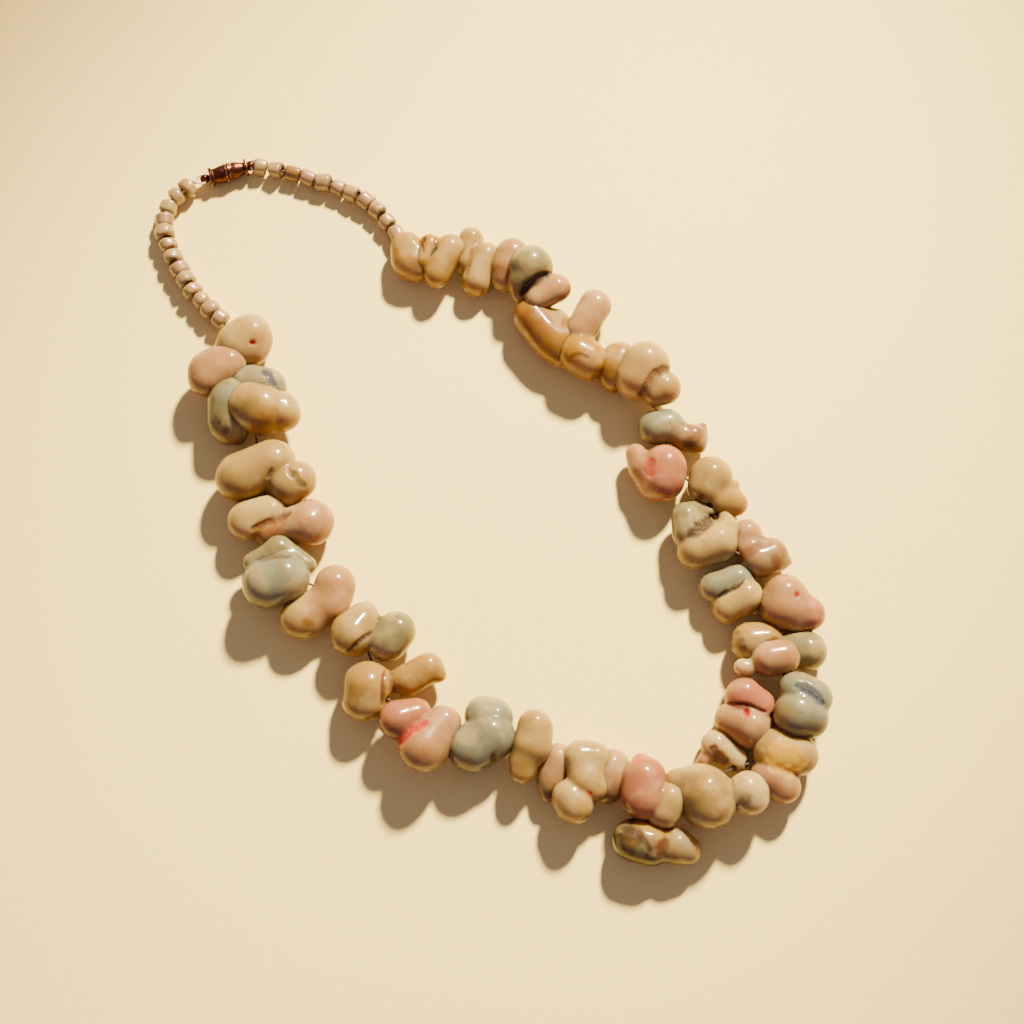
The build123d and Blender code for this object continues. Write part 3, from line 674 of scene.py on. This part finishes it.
def thread_finish():
    """Twisted thread, off-white at the clasp and painted dark brown as shade among the shells."""
    paint = Paint("twisted_thread")
    low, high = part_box("clasp_socket")
    ends = {0: paint.place, 1: (low + high) / 2}
    away = paint.value("ShaderNodeVectorMath", {"operation": "DISTANCE"}, ends, "Value")
    shaded_share = away.over(THREAD_PALE, THREAD_SHADED)
    strands = paint.noise(3000, 2, 0.5, (1.0, 1.0, 0.35))
    cloud = paint.noise(600, 2)
    colour = paint.blend(cloud.over(0.35, 0.75), linear("thread"), linear("worn thread"))
    # Among the shells the thread is painted dark brown, as the shade between them
    colour = paint.blend(shaded_share * 0.97, colour, linear("brown"))
    return paint.finish({
        "Base Color": colour,
        "Roughness": 0.85 + strands * 0.1,
        "Sheen Weight": 0.3,
        "Normal": paint.bump(strands, 0.6, 0.1 * MM),
    })


def page_finish(settings):
    """Pale paper with a faint tooth."""
    paint = Paint("pale_page")
    tooth = paint.noise(900, 4, 0.6)
    cloud = paint.noise(9, 2)
    duller = [part * 0.96 for part in settings.page]
    colour = paint.blend(cloud.over(0.3, 0.8) * 0.5, settings.page, duller)
    return paint.finish({
        "Base Color": colour,
        "Roughness": 0.75 + tooth * 0.1,
        "Normal": paint.bump(tooth, 0.12, 0.2 * MM),
    })


class Surface:
    """A mesh's points, edges and normals as arrays, for sculpting in code."""

    def __init__(self, mesh):
        self.mesh = mesh
        self.points = self.read(mesh.vertices, "co", 3)
        edges = np.empty(len(mesh.edges) * 2, dtype=np.int32)
        mesh.edges.foreach_get("vertices", edges)
        self.ends = edges.reshape(-1, 2)
        self.count = len(self.points)
        self.degree = np.maximum(np.bincount(self.ends.ravel(), minlength=self.count), 1)

    @staticmethod
    def read(items, name, width):
        """A property of many items as an array with this many columns."""
        flat = np.empty(len(items) * width)
        items.foreach_get(name, flat)
        return flat.reshape(-1, width)

    def around(self, values):
        """The mean of each point's neighbours' values."""
        first, second = self.ends[:, 0], self.ends[:, 1]
        columns = values.reshape(self.count, -1)
        sums = [
            np.bincount(first, column[second], self.count) + np.bincount(second, column[first], self.count)
            for column in columns.T
        ]
        return (np.stack(sums, 1) / self.degree[:, None]).reshape(values.shape)

    def soften(self, rounds):
        """Smooths the surface, and keeps its size."""
        for _ in range(rounds):
            for share in (0.50, -0.47):
                self.points += share * (self.around(self.points) - self.points)

    def spread(self, values, rounds):
        """Values shared out among neighbours."""
        for _ in range(rounds):
            values = 0.5 * values + 0.5 * self.around(values)
        return values

    def write(self):
        """Puts the points back into the mesh."""
        self.mesh.vertices.foreach_set("co", self.points.ravel())
        self.mesh.update()

    def normals(self):
        """The points' normals, from the mesh as it was last written."""
        return self.read(self.mesh.vertex_normals, "vector", 3)

    def keep_value(self, name, values):
        """Gives each point a number that the material reads."""
        layer = self.mesh.attributes.new(name, "FLOAT", "POINT")
        layer.data.foreach_set("value", np.ascontiguousarray(values, dtype=np.float32))

    def keep_colour(self, name, colours):
        """Gives each point a colour that the material reads."""
        layer = self.mesh.attributes.new(name, "FLOAT_COLOR", "POINT")
        rows = np.ones((self.count, 4), dtype=np.float32)
        rows[:, :3] = colours
        layer.data.foreach_set("color", rows.ravel())


def even_copy(node, name, grain):
    """A closed copy of a node's solid with faces of one size, as a new object."""
    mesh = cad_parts[node].data.copy()
    mesh.materials.clear()
    piece = linked(name, mesh)
    weld = piece.modifiers.new("weld", "WELD")
    weld.merge_threshold = WELD
    remesh = piece.modifiers.new("remesh", "REMESH")
    remesh.mode = "VOXEL"
    remesh.voxel_size = grain
    make_plain(piece)
    return piece


def make_plain(piece):
    """Turns a piece with modifiers into a plain mesh."""
    evaluated = piece.evaluated_get(bpy.context.evaluated_depsgraph_get())
    finished = bpy.data.meshes.new_from_object(evaluated)
    before = piece.data
    piece.modifiers.clear()
    piece.data = finished
    bpy.data.meshes.remove(before)
    finished.name = piece.name


def linked(name, data):
    """A new object in the scene."""
    made = bpy.data.objects.new(name, data)
    bpy.context.scene.collection.objects.link(made)
    return made


def put_on(piece, material, slot, *nodes):
    """Smooth shading, the material, and the piece's place in the frame instead of its nodes."""
    piece.data.materials.clear()
    piece.data.materials.append(material)
    piece.data.polygons.foreach_set("use_smooth", [True] * len(piece.data.polygons))
    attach(piece, "root")
    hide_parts(*nodes)


def dents(points, size, seed):
    """Soft uneven values from about -1 to 1 over places in space."""
    rng = np.random.default_rng(seed)
    waves = 9
    total = np.zeros(len(points))
    for _ in range(waves):
        way = rng.normal(size=3)
        way *= rng.uniform(0.7, 1.5) * 2 * math.pi / size / np.linalg.norm(way)
        total += np.sin(points @ way + rng.uniform(0, 2 * math.pi))
    return total / math.sqrt(waves)


def shell_dents(points, size, shell, turn):
    """Uneven values of a shell's own, and others of its own for each turn."""
    return dents(points, size, SHELLS.index(shell) + turn * len(SHELLS))


def line_distance(places, line):
    """How far each place is from a line through a few points, and its share of the way along."""
    line = np.array(line, dtype=float)
    best = np.linalg.norm(places - line[0], axis=1)
    along = np.full(len(places), 0.5 if len(line) == 1 else 0.0)
    for index, (start, end) in enumerate(zip(line, line[1:])):
        run = end - start
        share = np.clip((places - start) @ run / (run @ run), 0, 1)
        away = np.linalg.norm(places - start - share[:, None] * run, axis=1)
        nearer = away < best
        best[nearer] = away[nearer]
        along[nearer] = (index + share[nearer]) / (len(line) - 1)
    return best, along


def ball_place(across, down, radius, floor):
    """Where a ball that rests at a height lies, and its real radius, from how it is seen."""
    right, up, back = photo_axes()
    spread = math.tan(PHOTO_ANGLE / 2) / PHOTO_HALF
    ray = right * ((across - PHOTO_HALF) * spread) - up * ((down - PHOTO_HALF) * spread) - back
    eye = PHOTO_MIDDLE + back * PHOTO_DISTANCE
    reach = (eye.z - floor) / (spread * radius - ray.z)
    return np.array(eye + ray * reach), reach * spread * radius


def egg_distance(points, balls):
    """How far points are from the skin round two balls; less than nothing inside."""
    start, radius, end, end_radius = balls
    run = end - start
    length = np.linalg.norm(run)
    slope = np.clip((radius - end_radius) / length, -0.95, 0.95)
    away = points - start
    along = away @ run / length
    across = np.sqrt(np.maximum(np.einsum("ij,ij->i", away, away) - along**2, 0))
    share = np.clip((along - across * slope / math.sqrt(1 - slope**2)) / length, 0, 1)
    centres = start + share[:, None] * run
    return np.linalg.norm(points - centres, axis=1) - radius - share * (end_radius - radius)


def blended(distances, width):
    """One skin over several, with fillets this wide where they meet."""
    whole = distances[0]
    for other in distances[1:]:
        share = np.clip(0.5 + 0.5 * (other - whole) / width, 0, 1)
        whole = other * (1 - share) + whole * share - width * share * (1 - share)
    return whole


class ShellForm:
    """The form of one shell, as distances from its body, from its lip and from the whole."""

    def __init__(self, shell, settings):
        self.settings = settings
        self.join = shell.join * MM
        self.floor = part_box(shell.node)[0].z * settings.pile_share
        self.widest = max(max(egg.radius, egg.end_radius) for egg in shell.body + shell.lip)
        self.body = [self.balls(egg) for egg in shell.body]
        self.lip = [self.balls(egg) for egg in shell.lip]

    def balls(self, egg):
        """The middles and radii of an egg's two balls, the small ones raised to the large."""
        start = ball_place(egg.across, egg.down, egg.radius, self.raised(egg.radius))
        end = ball_place(egg.end_across, egg.end_down, egg.end_radius, self.raised(egg.end_radius))
        return *start, *end

    def raised(self, radius):
        """The height that a ball of this radius in pixels rests on."""
        pixel = PHOTO_DISTANCE * math.tan(PHOTO_ANGLE / 2) / PHOTO_HALF
        return self.floor + self.settings.raise_share * (self.widest - radius) * pixel

    def distances(self, points):
        """How far points are from the body, from the lip and from the whole shell."""
        body, lip = [
            blended([egg_distance(points, balls) for balls in eggs], self.settings.fillet)
            for eggs in (self.body, self.lip)
        ]
        return body, lip, blended([body, lip], self.join)

    def mesh(self, name):
        """The shell's skin as a closed mesh of even faces."""
        step = self.settings.grain
        balls = self.body + self.lip
        middles = np.array([ball[side] for ball in balls for side in (0, 2)])
        radii = np.array([ball[side] for ball in balls for side in (1, 3)])[:, None]
        low = (middles - radii).min(axis=0) - 2 * step
        high = (middles + radii).max(axis=0) + 2 * step
        counts = np.ceil((high - low) / step).astype(int) + 1
        grid = np.stack(np.indices(counts), -1).reshape(-1, 3) * step + low
        points, faces = skin(self.distances(grid)[2].reshape(counts))
        mesh = bpy.data.meshes.new(name)
        mesh.from_pydata((points * step + low).tolist(), [], faces.tolist())
        mesh.update()
        return mesh


def skin(field):
    """The surface where a grid of distances is nothing: one point in each cell that it
    crosses, and a square face round each grid edge that crosses it."""
    cells = np.array(field.shape) - 1
    total = np.zeros((*cells, 3))
    count = np.zeros(cells)
    crossings = []
    for axis in range(3):
        others = [other for other in range(3) if other != axis]
        lower = np.take(field, range(cells[axis]), axis)
        upper = np.take(field, range(1, cells[axis] + 1), axis)
        crossed = (lower < 0) != (upper < 0)
        share = np.where(crossed, lower / np.where(crossed, lower - upper, 1), 0)
        crossings.append((crossed, lower < 0))
        for one in (0, 1):
            for two in (0, 1):
                window = [slice(None)] * 3
                window[others[0]] = slice(one, one + cells[others[0]])
                window[others[1]] = slice(two, two + cells[others[1]])
                here = crossed[tuple(window)]
                total[..., axis] += share[tuple(window)]
                total[..., others[0]] += one * here
                total[..., others[1]] += two * here
                count += here
    used = count > 0
    index = np.full(count.shape, -1)
    index[used] = np.arange(used.sum())
    points = np.argwhere(used) + total[used] / count[used][:, None]
    faces = []
    for axis, (crossed, inside) in enumerate(crossings):
        first, second = (axis + 1) % 3, (axis + 2) % 3
        edges = np.argwhere(crossed)
        outward = inside[tuple(edges.T)]
        back_first = np.eye(3, dtype=int)[first]
        back_second = np.eye(3, dtype=int)[second]
        ring = [edges - back_first - back_second, edges - back_second, edges, edges - back_first]
        square = np.stack([index[tuple(cell.T)] for cell in ring], 1)
        square[~outward] = square[~outward][:, ::-1]
        faces.append(square)
    return points, np.concatenate(faces)


def thread_holes(points, form, strand, reach):
    """How near each point is to a place where the thread goes through the shell's skin.

    Every fourth of the thread's points there is enough.
    """
    close = strand[np.abs(strand - points.mean(axis=0)).max(axis=1) < np.ptp(points, axis=0).max()]
    through = close[np.abs(form.distances(close)[2]) < reach / 3]
    near = np.zeros(len(points))
    for place in through[::4]:
        away = np.linalg.norm(points - place, axis=1)
        near = np.maximum(near, 1 - smooth_step(away, reach / 3, reach))
    return near


def through_shells(points, shells, beads):
    """The thread's points, moved with the shells and beads that it goes through."""
    solids = [np.array((low + high) / 2) for low, high in (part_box(shell.node) for shell in SHELLS)]
    forms = [np.mean([corner[:] for corner in piece.bound_box], axis=0) for piece in shells]
    for run in bead_runs(beads):
        for middle in bead_places(run.node)[0]:
            solids.append(middle)
            forms.append(np.array([middle[0], middle[1], run.diameter / 2]))
    solids, forms = np.array(solids), np.array(forms)
    away = np.linalg.norm(points[:, None] - solids[None], axis=2)
    near = np.exp(-((away / THREAD_FADE) ** 2)) + 1e-12
    moves = near @ (forms - solids) / near.sum(axis=1)[:, None]
    return points + moves * (1 - smooth_step(away.min(axis=1), THREAD_NEAR, THREAD_FAR))[:, None]


def carve_marks(shell, surface, normals, places, scale):
    """Cuts the shell's grooves and holes, and returns the colours and cover of its marks."""
    facing = smooth_step(normals @ np.array(photo_axes()[2]), 0.0, 0.35)
    colour = np.tile(linear(shell.tints.crease), (surface.count, 1))
    cover = np.zeros(surface.count)
    ragged = shell_dents(surface.points, RAGGED_SIZE, shell, 2)
    for mark in MARKS:
        if mark.node != shell.node:
            continue
        away, along = line_distance(places, mark.line)
        half = mark.width * MM / 2
        away = away / scale + 0.15 * half * ragged
        # A line is at its full width halfway, and about a third of it at its ends
        half = half * (0.35 + 1.3 * np.sqrt(np.maximum(along * (1 - along), 0)))
        cut = (1 - smooth_step(away, 0.3 * half, 1.2 * half)) * facing
        edge = (0.6, 1.5) if mark.depth else (0.2, 1.8)
        stain = (1 - smooth_step(away, edge[0] * half, edge[1] * half)) * facing * mark.cover
        surface.points -= normals * (cut * mark.depth * MM)[:, None]
        share = (stain / np.maximum(stain + cover * (1 - stain), 1e-6))[:, None]
        colour = linear(mark.colour) * share + colour * (1 - share)
        cover = stain + cover * (1 - stain)
    return colour, cover


def shell_tint(shell, form, surface, normals, settings):
    """The shell's colour from body to lip, with its low tint as painted shade on the sides turned from the
    light.
    """
    body, lip, _ = form.distances(surface.points)
    share = smooth_step(body - lip, -LIP_BLEND, LIP_BLEND)[:, None]
    tint = linear(shell.tints.body) * (1 - share) + linear(shell.tints.lip) * share
    right, up, _ = photo_axes()
    # The light is painted from this way: sides turned from it take the low tint as shade
    painted_light_way = np.array((up * 0.45 + right * 0.15 + Vector((0, 0, 0.85))).normalized())
    drift = 0.16 * shell_dents(surface.points, settings.dent_size, shell, 1)
    low = settings.shade_tint_share * (1 - smooth_step(normals @ painted_light_way + drift, -0.10, 0.80))[:, None]
    return (tint * (1 - low) + linear(shell.tints.low) * low) * np.array(settings.depth)


def plain_shell(shell, settings):
    """One shell's form, and its piece before it is polished."""
    form = ShellForm(shell, settings)
    name = shell.node + "_polished"
    return form, linked(name, form.mesh(name))


def polish_shell(shell, form, piece, strand, settings, material):
    """Finishes one shell in place of its solid, with holes for the thread."""
    surface = Surface(piece.data)
    surface.soften(settings.softening)
    surface.write()
    uneven = settings.dent * shell_dents(surface.points, settings.dent_size, shell, 0)
    surface.points += surface.normals() * uneven[:, None]
    surface.write()
    normals = surface.normals()
    reach = settings.crease
    skin_gap = form.distances(surface.points)[2]
    # One step outwards takes a point as far from the skin, but less far in a crease
    hollow = 1 - (form.distances(surface.points + normals * reach)[2] - skin_gap) / reach
    hole = thread_holes(surface.points, form, strand, settings.hole)
    places, scale = photo_pixels(surface.points)
    tint = shell_tint(shell, form, surface, normals, settings)
    colour, cover = carve_marks(shell, surface, normals, places, scale)
    surface.points -= normals * (hole * settings.hole * settings.hole_share)[:, None]
    surface.soften(1)
    surface.write()
    # How deep a point lies in a crease or thread hole, which the material paints as shade
    surface.keep_value("hollow", np.maximum(smooth_step(hollow, 0.12, 0.70), hole))
    surface.keep_value("cover", surface.spread(cover, 1))
    surface.keep_colour("tint", tint)
    surface.keep_colour("crease", np.tile(linear(shell.tints.crease), (surface.count, 1)))
    surface.keep_colour("mark", colour)
    put_on(piece, material, shell.slot, shell.node)


def bead_run_tree():
    """Geometry Nodes: one rounded, drilled bead on every point, leaning and dented by chance."""
    tree = bpy.data.node_groups.new("bead_run", "GeometryNodeTree")
    sizes = ("Diameter", "Length", "Bore", "Edge", "Tilt", "Spread", "Unevenness")
    kinds = {"Geometry": "Geometry", **dict.fromkeys(sizes, "Float")}
    kinds.update({"Seed": "Int", "Material": "Material"})
    for name, kind in kinds.items():
        tree.interface.new_socket(name, in_out="INPUT", socket_type="NodeSocket" + kind)
    tree.interface.new_socket("Geometry", in_out="OUTPUT", socket_type="NodeSocketGeometry")

    nodes = Nodes(tree)
    entry = nodes.node("NodeGroupInput")
    given = {name: Value(nodes, entry.outputs[name]) for name in kinds}
    diameter, length, bore, tilt = [given[name] for name in ("Diameter", "Length", "Bore", "Tilt")]
    round_sides, edge_sides = 30, 5
    ring = nodes.value("GeometryNodeCurvePrimitiveCircle", None, {
        "Resolution": round_sides, "Radius": (diameter + bore) * 0.25})
    section = nodes.value("GeometryNodeCurvePrimitiveQuadrilateral", None, {
        "Width": (diameter - bore) * 0.5, "Height": length})
    rounded = nodes.value("GeometryNodeFilletCurve", {"mode": "POLY"}, {
        "Curve": section, "Radius": given["Edge"], "Limit Radius": True, "Count": edge_sides})
    bead = nodes.value("GeometryNodeCurveToMesh", None, {"Curve": ring, "Profile Curve": rounded})
    place = nodes.value("GeometryNodeInputPosition")
    height = nodes.value("ShaderNodeSeparateXYZ", None, {0: place}, "Z")
    rim = nodes.maths("ABSOLUTE", height, 0.0) / (length * 0.5)
    kept = {"data_type": "FLOAT", "domain": "POINT"}
    marked = nodes.value("GeometryNodeStoreNamedAttribute", kept, {
        "Geometry": bead, "Name": "rim", "Value": rim})
    vectors = {"data_type": "FLOAT_VECTOR"}
    along = nodes.value("GeometryNodeInputNamedAttribute", vectors, {"Name": "along"})
    facing = nodes.value("FunctionNodeAlignRotationToVector", {"axis": "Z"}, {"Vector": along})
    lean = nodes.value("FunctionNodeRandomValue", vectors, {
        "Min": tilt * -1.0, "Max": tilt, "Seed": given["Seed"]})
    turned = nodes.value("FunctionNodeRotateRotation", {"rotation_space": "LOCAL"}, {
        "Rotation": facing, "Rotate By": lean})
    size = nodes.value("FunctionNodeRandomValue", vectors, {
        "Min": 1.0 - given["Spread"], "Max": (1.0, 1.0, 1.0), "Seed": given["Seed"] + 1.0})
    placed = nodes.value("GeometryNodeInstanceOnPoints", None, {
        "Points": given["Geometry"], "Instance": marked, "Rotation": turned, "Scale": size})
    real = nodes.value("GeometryNodeRealizeInstances", None, {"Geometry": placed})
    # The dents are about 2 mm apart, and go a little more inwards than outwards
    chance = nodes.value("ShaderNodeTexNoise", None, {"Scale": 420.0, "Detail": 2.0})
    offset = nodes.value("ShaderNodeVectorMath", {"operation": "SCALE"}, {
        0: nodes.value("GeometryNodeInputNormal"), "Scale": (chance - 0.55) * given["Unevenness"]})
    dented = nodes.value("GeometryNodeSetPosition", None, {"Geometry": real, "Offset": offset})
    smooth = nodes.value("GeometryNodeSetShadeSmooth", None, {"Geometry": dented})
    dressed = nodes.value("GeometryNodeSetMaterial", None, {
        "Geometry": smooth, "Material": given["Material"]})
    nodes.node("NodeGroupOutput", None, {"Geometry": dressed})
    return tree


def bead_places(node):
    """The middles of a run's beads from the clasp on, and the way of the string at each.

    Triangles that share a point belong to one bead, so each point takes the lowest label among
    its neighbours until nothing changes.
    """
    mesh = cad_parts[node].data
    points = Surface.read(mesh.vertices, "co", 3)
    keys = np.round(points / WELD).astype(np.int64)
    _, welded = np.unique(keys, axis=0, return_inverse=True)
    welded = welded.ravel()
    label = np.arange(welded.max() + 1)
    edges = np.empty(len(mesh.edges) * 2, dtype=np.int32)
    mesh.edges.foreach_get("vertices", edges)
    first, second = welded[edges.reshape(-1, 2)].T
    while True:
        lowest = np.minimum(label[first], label[second])
        before = label.copy()
        np.minimum.at(label, first, lowest)
        np.minimum.at(label, second, lowest)
        label = label[label]
        if np.array_equal(before, label):
            break
    island = label[welded]
    middles = []
    for name in np.unique(island):
        part = points[island == name]
        middles.append((part.min(axis=0) + part.max(axis=0)) / 2)
    low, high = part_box("clasp_socket")
    last = np.array((low + high) / 2)
    ordered = []
    while middles:
        nearest = min(range(len(middles)), key=lambda index: np.linalg.norm(middles[index] - last))
        last = middles.pop(nearest)
        ordered.append(last)
    ordered = np.array(ordered)
    return ordered, np.gradient(ordered, axis=0)


def bead_layout(run):
    """Where the beads of a run rest on the page, and the string's way at each."""
    middles, ways = bead_places(run.node)
    along = np.linspace(1, 0, len(middles))[:, None] ** 2
    rested = middles - ways * along * run.slide
    rested[:, 2] = run.diameter / 2
    ways[:, 2] = 0
    return rested, ways


def bead_runs(settings):
    """The two runs of beads, each with the settings that start with its side."""
    runs = []
    for side in ("left", "right"):
        own = [getattr(settings, f"{side}_{name}") for name in BeadRun._fields[1:]]
        runs.append(BeadRun("beads_" + side, *own))
    return runs


def string_beads(run, settings, tree, material):
    """One run of small beads in place of its solids."""
    middles, ways = bead_layout(run)
    mesh = bpy.data.meshes.new(run.node + "_places")
    mesh.from_pydata(middles.tolist(), [], [])
    layer = mesh.attributes.new("along", "FLOAT_VECTOR", "POINT")
    layer.data.foreach_set("vector", ways.astype(np.float32).ravel())
    tones = np.random.default_rng(settings.seed).uniform(0.0, 0.7, len(middles))
    if run.amber:
        tones[run.amber - 1] = 1.0
    for name, values in (("tone", tones), ("dirt", np.full(len(middles), run.dirt))):
        mesh.attributes.new(name, "FLOAT", "POINT").data.foreach_set("value", values.astype(np.float32))
    piece = linked(run.node + "_strung", mesh)
    modifier = piece.modifiers.new("bead_run", "NODES")
    modifier.node_group = tree
    inputs = {
        "Diameter": run.diameter, "Length": run.length, "Bore": settings.bore, "Edge": run.edge,
        "Tilt": settings.tilt, "Spread": settings.spread, "Unevenness": settings.uneven,
        "Seed": settings.seed, "Material": material,
    }
    for item in tree.interface.items_tree:
        if item.in_out == "INPUT" and item.name in inputs:
            modifier[item.identifier] = inputs[item.name]
    make_plain(piece)
    put_on(piece, material, "small_beads", run.node)


def worn_metal(node, settings, material):
    """One half of the clasp with rounded, worn edges, in place of its solid."""
    piece = even_copy(node, node + "_worn", settings.grain)
    surface = Surface(piece.data)
    surface.soften(2)
    surface.write()
    uneven = settings.dent * dents(surface.points, settings.dent_size, METAL_SEED)
    surface.points += surface.normals() * uneven[:, None]
    surface.write()
    # What stands out from a much smoother surface is an edge, and what lies under it a groove
    wide = surface.points.copy()
    rounds, share = 10, 0.6
    for _ in range(rounds):
        wide += share * (surface.around(wide) - wide)
    bulge = np.einsum("ij,ij->i", surface.points - wide, surface.normals()) / settings.ridge
    surface.keep_value("edge", np.clip(surface.spread(bulge, 2), 0, 1))
    surface.keep_value("groove", np.clip(surface.spread(-bulge, 2), 0, 1))
    put_on(piece, material, "clasp_metal", node)


class NECKLACE_OT_shells(bpy.types.Operator):
    """Polishes, colours and marks every shell, and strings the thread through them"""

    bl_idname = "necklace.shells"
    bl_label = "Make the shells"

    def execute(self, context):
        settings = context.scene.necklace_shells
        depth = np.array(settings.depth)
        finishes = {
            slot: shell_finish(slot + "_polish", speckle, depth) for slot, speckle in SPECKLES.items()
        }
        plain = [plain_shell(shell, settings) for shell in SHELLS]
        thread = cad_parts["thread"].data.copy()
        strand = Surface.read(thread.vertices, "co", 3)
        strand = through_shells(strand, [piece for _, piece in plain], context.scene.necklace_beads)
        for shell, (form, piece) in zip(SHELLS, plain):
            polish_shell(shell, form, piece, strand, settings, finishes[shell.slot])
        thread.vertices.foreach_set("co", strand.ravel())
        thread.update()
        put_on(linked("thread_strung", thread), thread_finish(), "thread", "thread")
        return {"FINISHED"}


class NECKLACE_OT_small_beads(bpy.types.Operator):
    """Strings the two runs of small beads"""

    bl_idname = "necklace.small_beads"
    bl_label = "Make the small beads"

    def execute(self, context):
        settings = context.scene.necklace_beads
        tree = bead_run_tree()
        material = bead_finish()
        for run in bead_runs(settings):
            string_beads(run, settings, tree, material)
        return {"FINISHED"}


class NECKLACE_OT_clasp(bpy.types.Operator):
    """Finishes the clasp's metal"""

    bl_idname = "necklace.clasp"
    bl_label = "Finish the clasp"

    def execute(self, context):
        settings = context.scene.necklace_clasp
        material = clasp_finish(settings)
        for node in ("clasp_socket", "clasp_screw"):
            worn_metal(node, settings, material)
        return {"FINISHED"}


class NECKLACE_OT_stage(bpy.types.Operator):
    """Lays the page, sets the lights and places the camera as in the photograph"""

    bl_idname = "necklace.stage"
    bl_label = "Set the stage"

    def execute(self, context):
        settings = context.scene.necklace_stage
        half = settings.page_half
        page = bpy.data.meshes.new("page")
        corners = [(-half, -half, 0), (half, -half, 0), (half, half, 0), (-half, half, 0)]
        page.from_pydata(corners, [], [(0, 1, 2, 3)])
        page.materials.append(page_finish(settings))
        floor = linked("page", page)

        right, up, back = photo_axes()
        lamp = bpy.data.lights.new("key", "SPOT")
        lamp.shadow_soft_size = settings.key_size
        lamp.spot_size = settings.pool
        lamp.spot_blend = 1.0
        lamp.energy = settings.key
        lamp.color = settings.key_colour
        away, side, rise = settings.key_way
        way = Vector((up.x, up.y, 0)).normalized() * away + right * side + Vector((0, 0, rise))
        self.aim(linked("key", lamp), way.normalized(), settings.key_reach)

        world = bpy.data.worlds.new("room")
        context.scene.world = world
        world.use_nodes = True
        background = world.node_tree.nodes["Background"]
        background.inputs["Color"].default_value = (*settings.fill_colour, 1.0)
        background.inputs["Strength"].default_value = settings.fill

        camera = bpy.data.cameras.new("photo_camera")
        camera.angle = PHOTO_ANGLE
        camera.clip_start = 0.01
        view = linked("photo_camera", camera)
        self.aim(view, back, PHOTO_DISTANCE)
        context.scene.camera = view
        return {"FINISHED"}

    @staticmethod
    def aim(holder, way, distance):
        """Places a lamp or camera on this side of the page's middle, and turns it there."""
        holder.location = PHOTO_MIDDLE + way * distance
        holder.rotation_mode = "QUATERNION"
        holder.rotation_quaternion = (-way).to_track_quat("-Z", "Y")


class NECKLACE_PT_panel(bpy.types.Panel):
    """The steps that make the necklace"""

    bl_idname = "NECKLACE_PT_panel"
    bl_label = "Shell necklace"
    bl_space_type = "VIEW_3D"
    bl_region_type = "UI"
    bl_category = "Necklace"

    def draw(self, context):
        for operator in OPERATORS:
            self.layout.operator(operator.bl_idname)


OPERATORS = (NECKLACE_OT_stage, NECKLACE_OT_shells, NECKLACE_OT_small_beads, NECKLACE_OT_clasp)
SETTINGS = {
    "necklace_shells": ShellSettings,
    "necklace_beads": BeadSettings,
    "necklace_clasp": ClaspSettings,
    "necklace_stage": StageSettings,
}


def register():
    """Makes the settings, the steps and the panel known."""
    for group in SETTINGS.values():
        bpy.utils.register_class(group)
    for made in (*OPERATORS, NECKLACE_PT_panel):
        bpy.utils.register_class(made)
    for name, group in SETTINGS.items():
        setattr(bpy.types.Scene, name, PointerProperty(type=group))


def unregister():
    """Takes the settings, the steps and the panel away again."""
    for name in SETTINGS:
        delattr(bpy.types.Scene, name)
    for made in (NECKLACE_PT_panel, *reversed(OPERATORS), *SETTINGS.values()):
        bpy.utils.unregister_class(made)


def main():
    """Makes the necklace step by step."""
    register()
    bpy.ops.necklace.stage()
    bpy.ops.necklace.shells()
    bpy.ops.necklace.small_beads()
    bpy.ops.necklace.clasp()


if __name__ == "__main__":
    main()
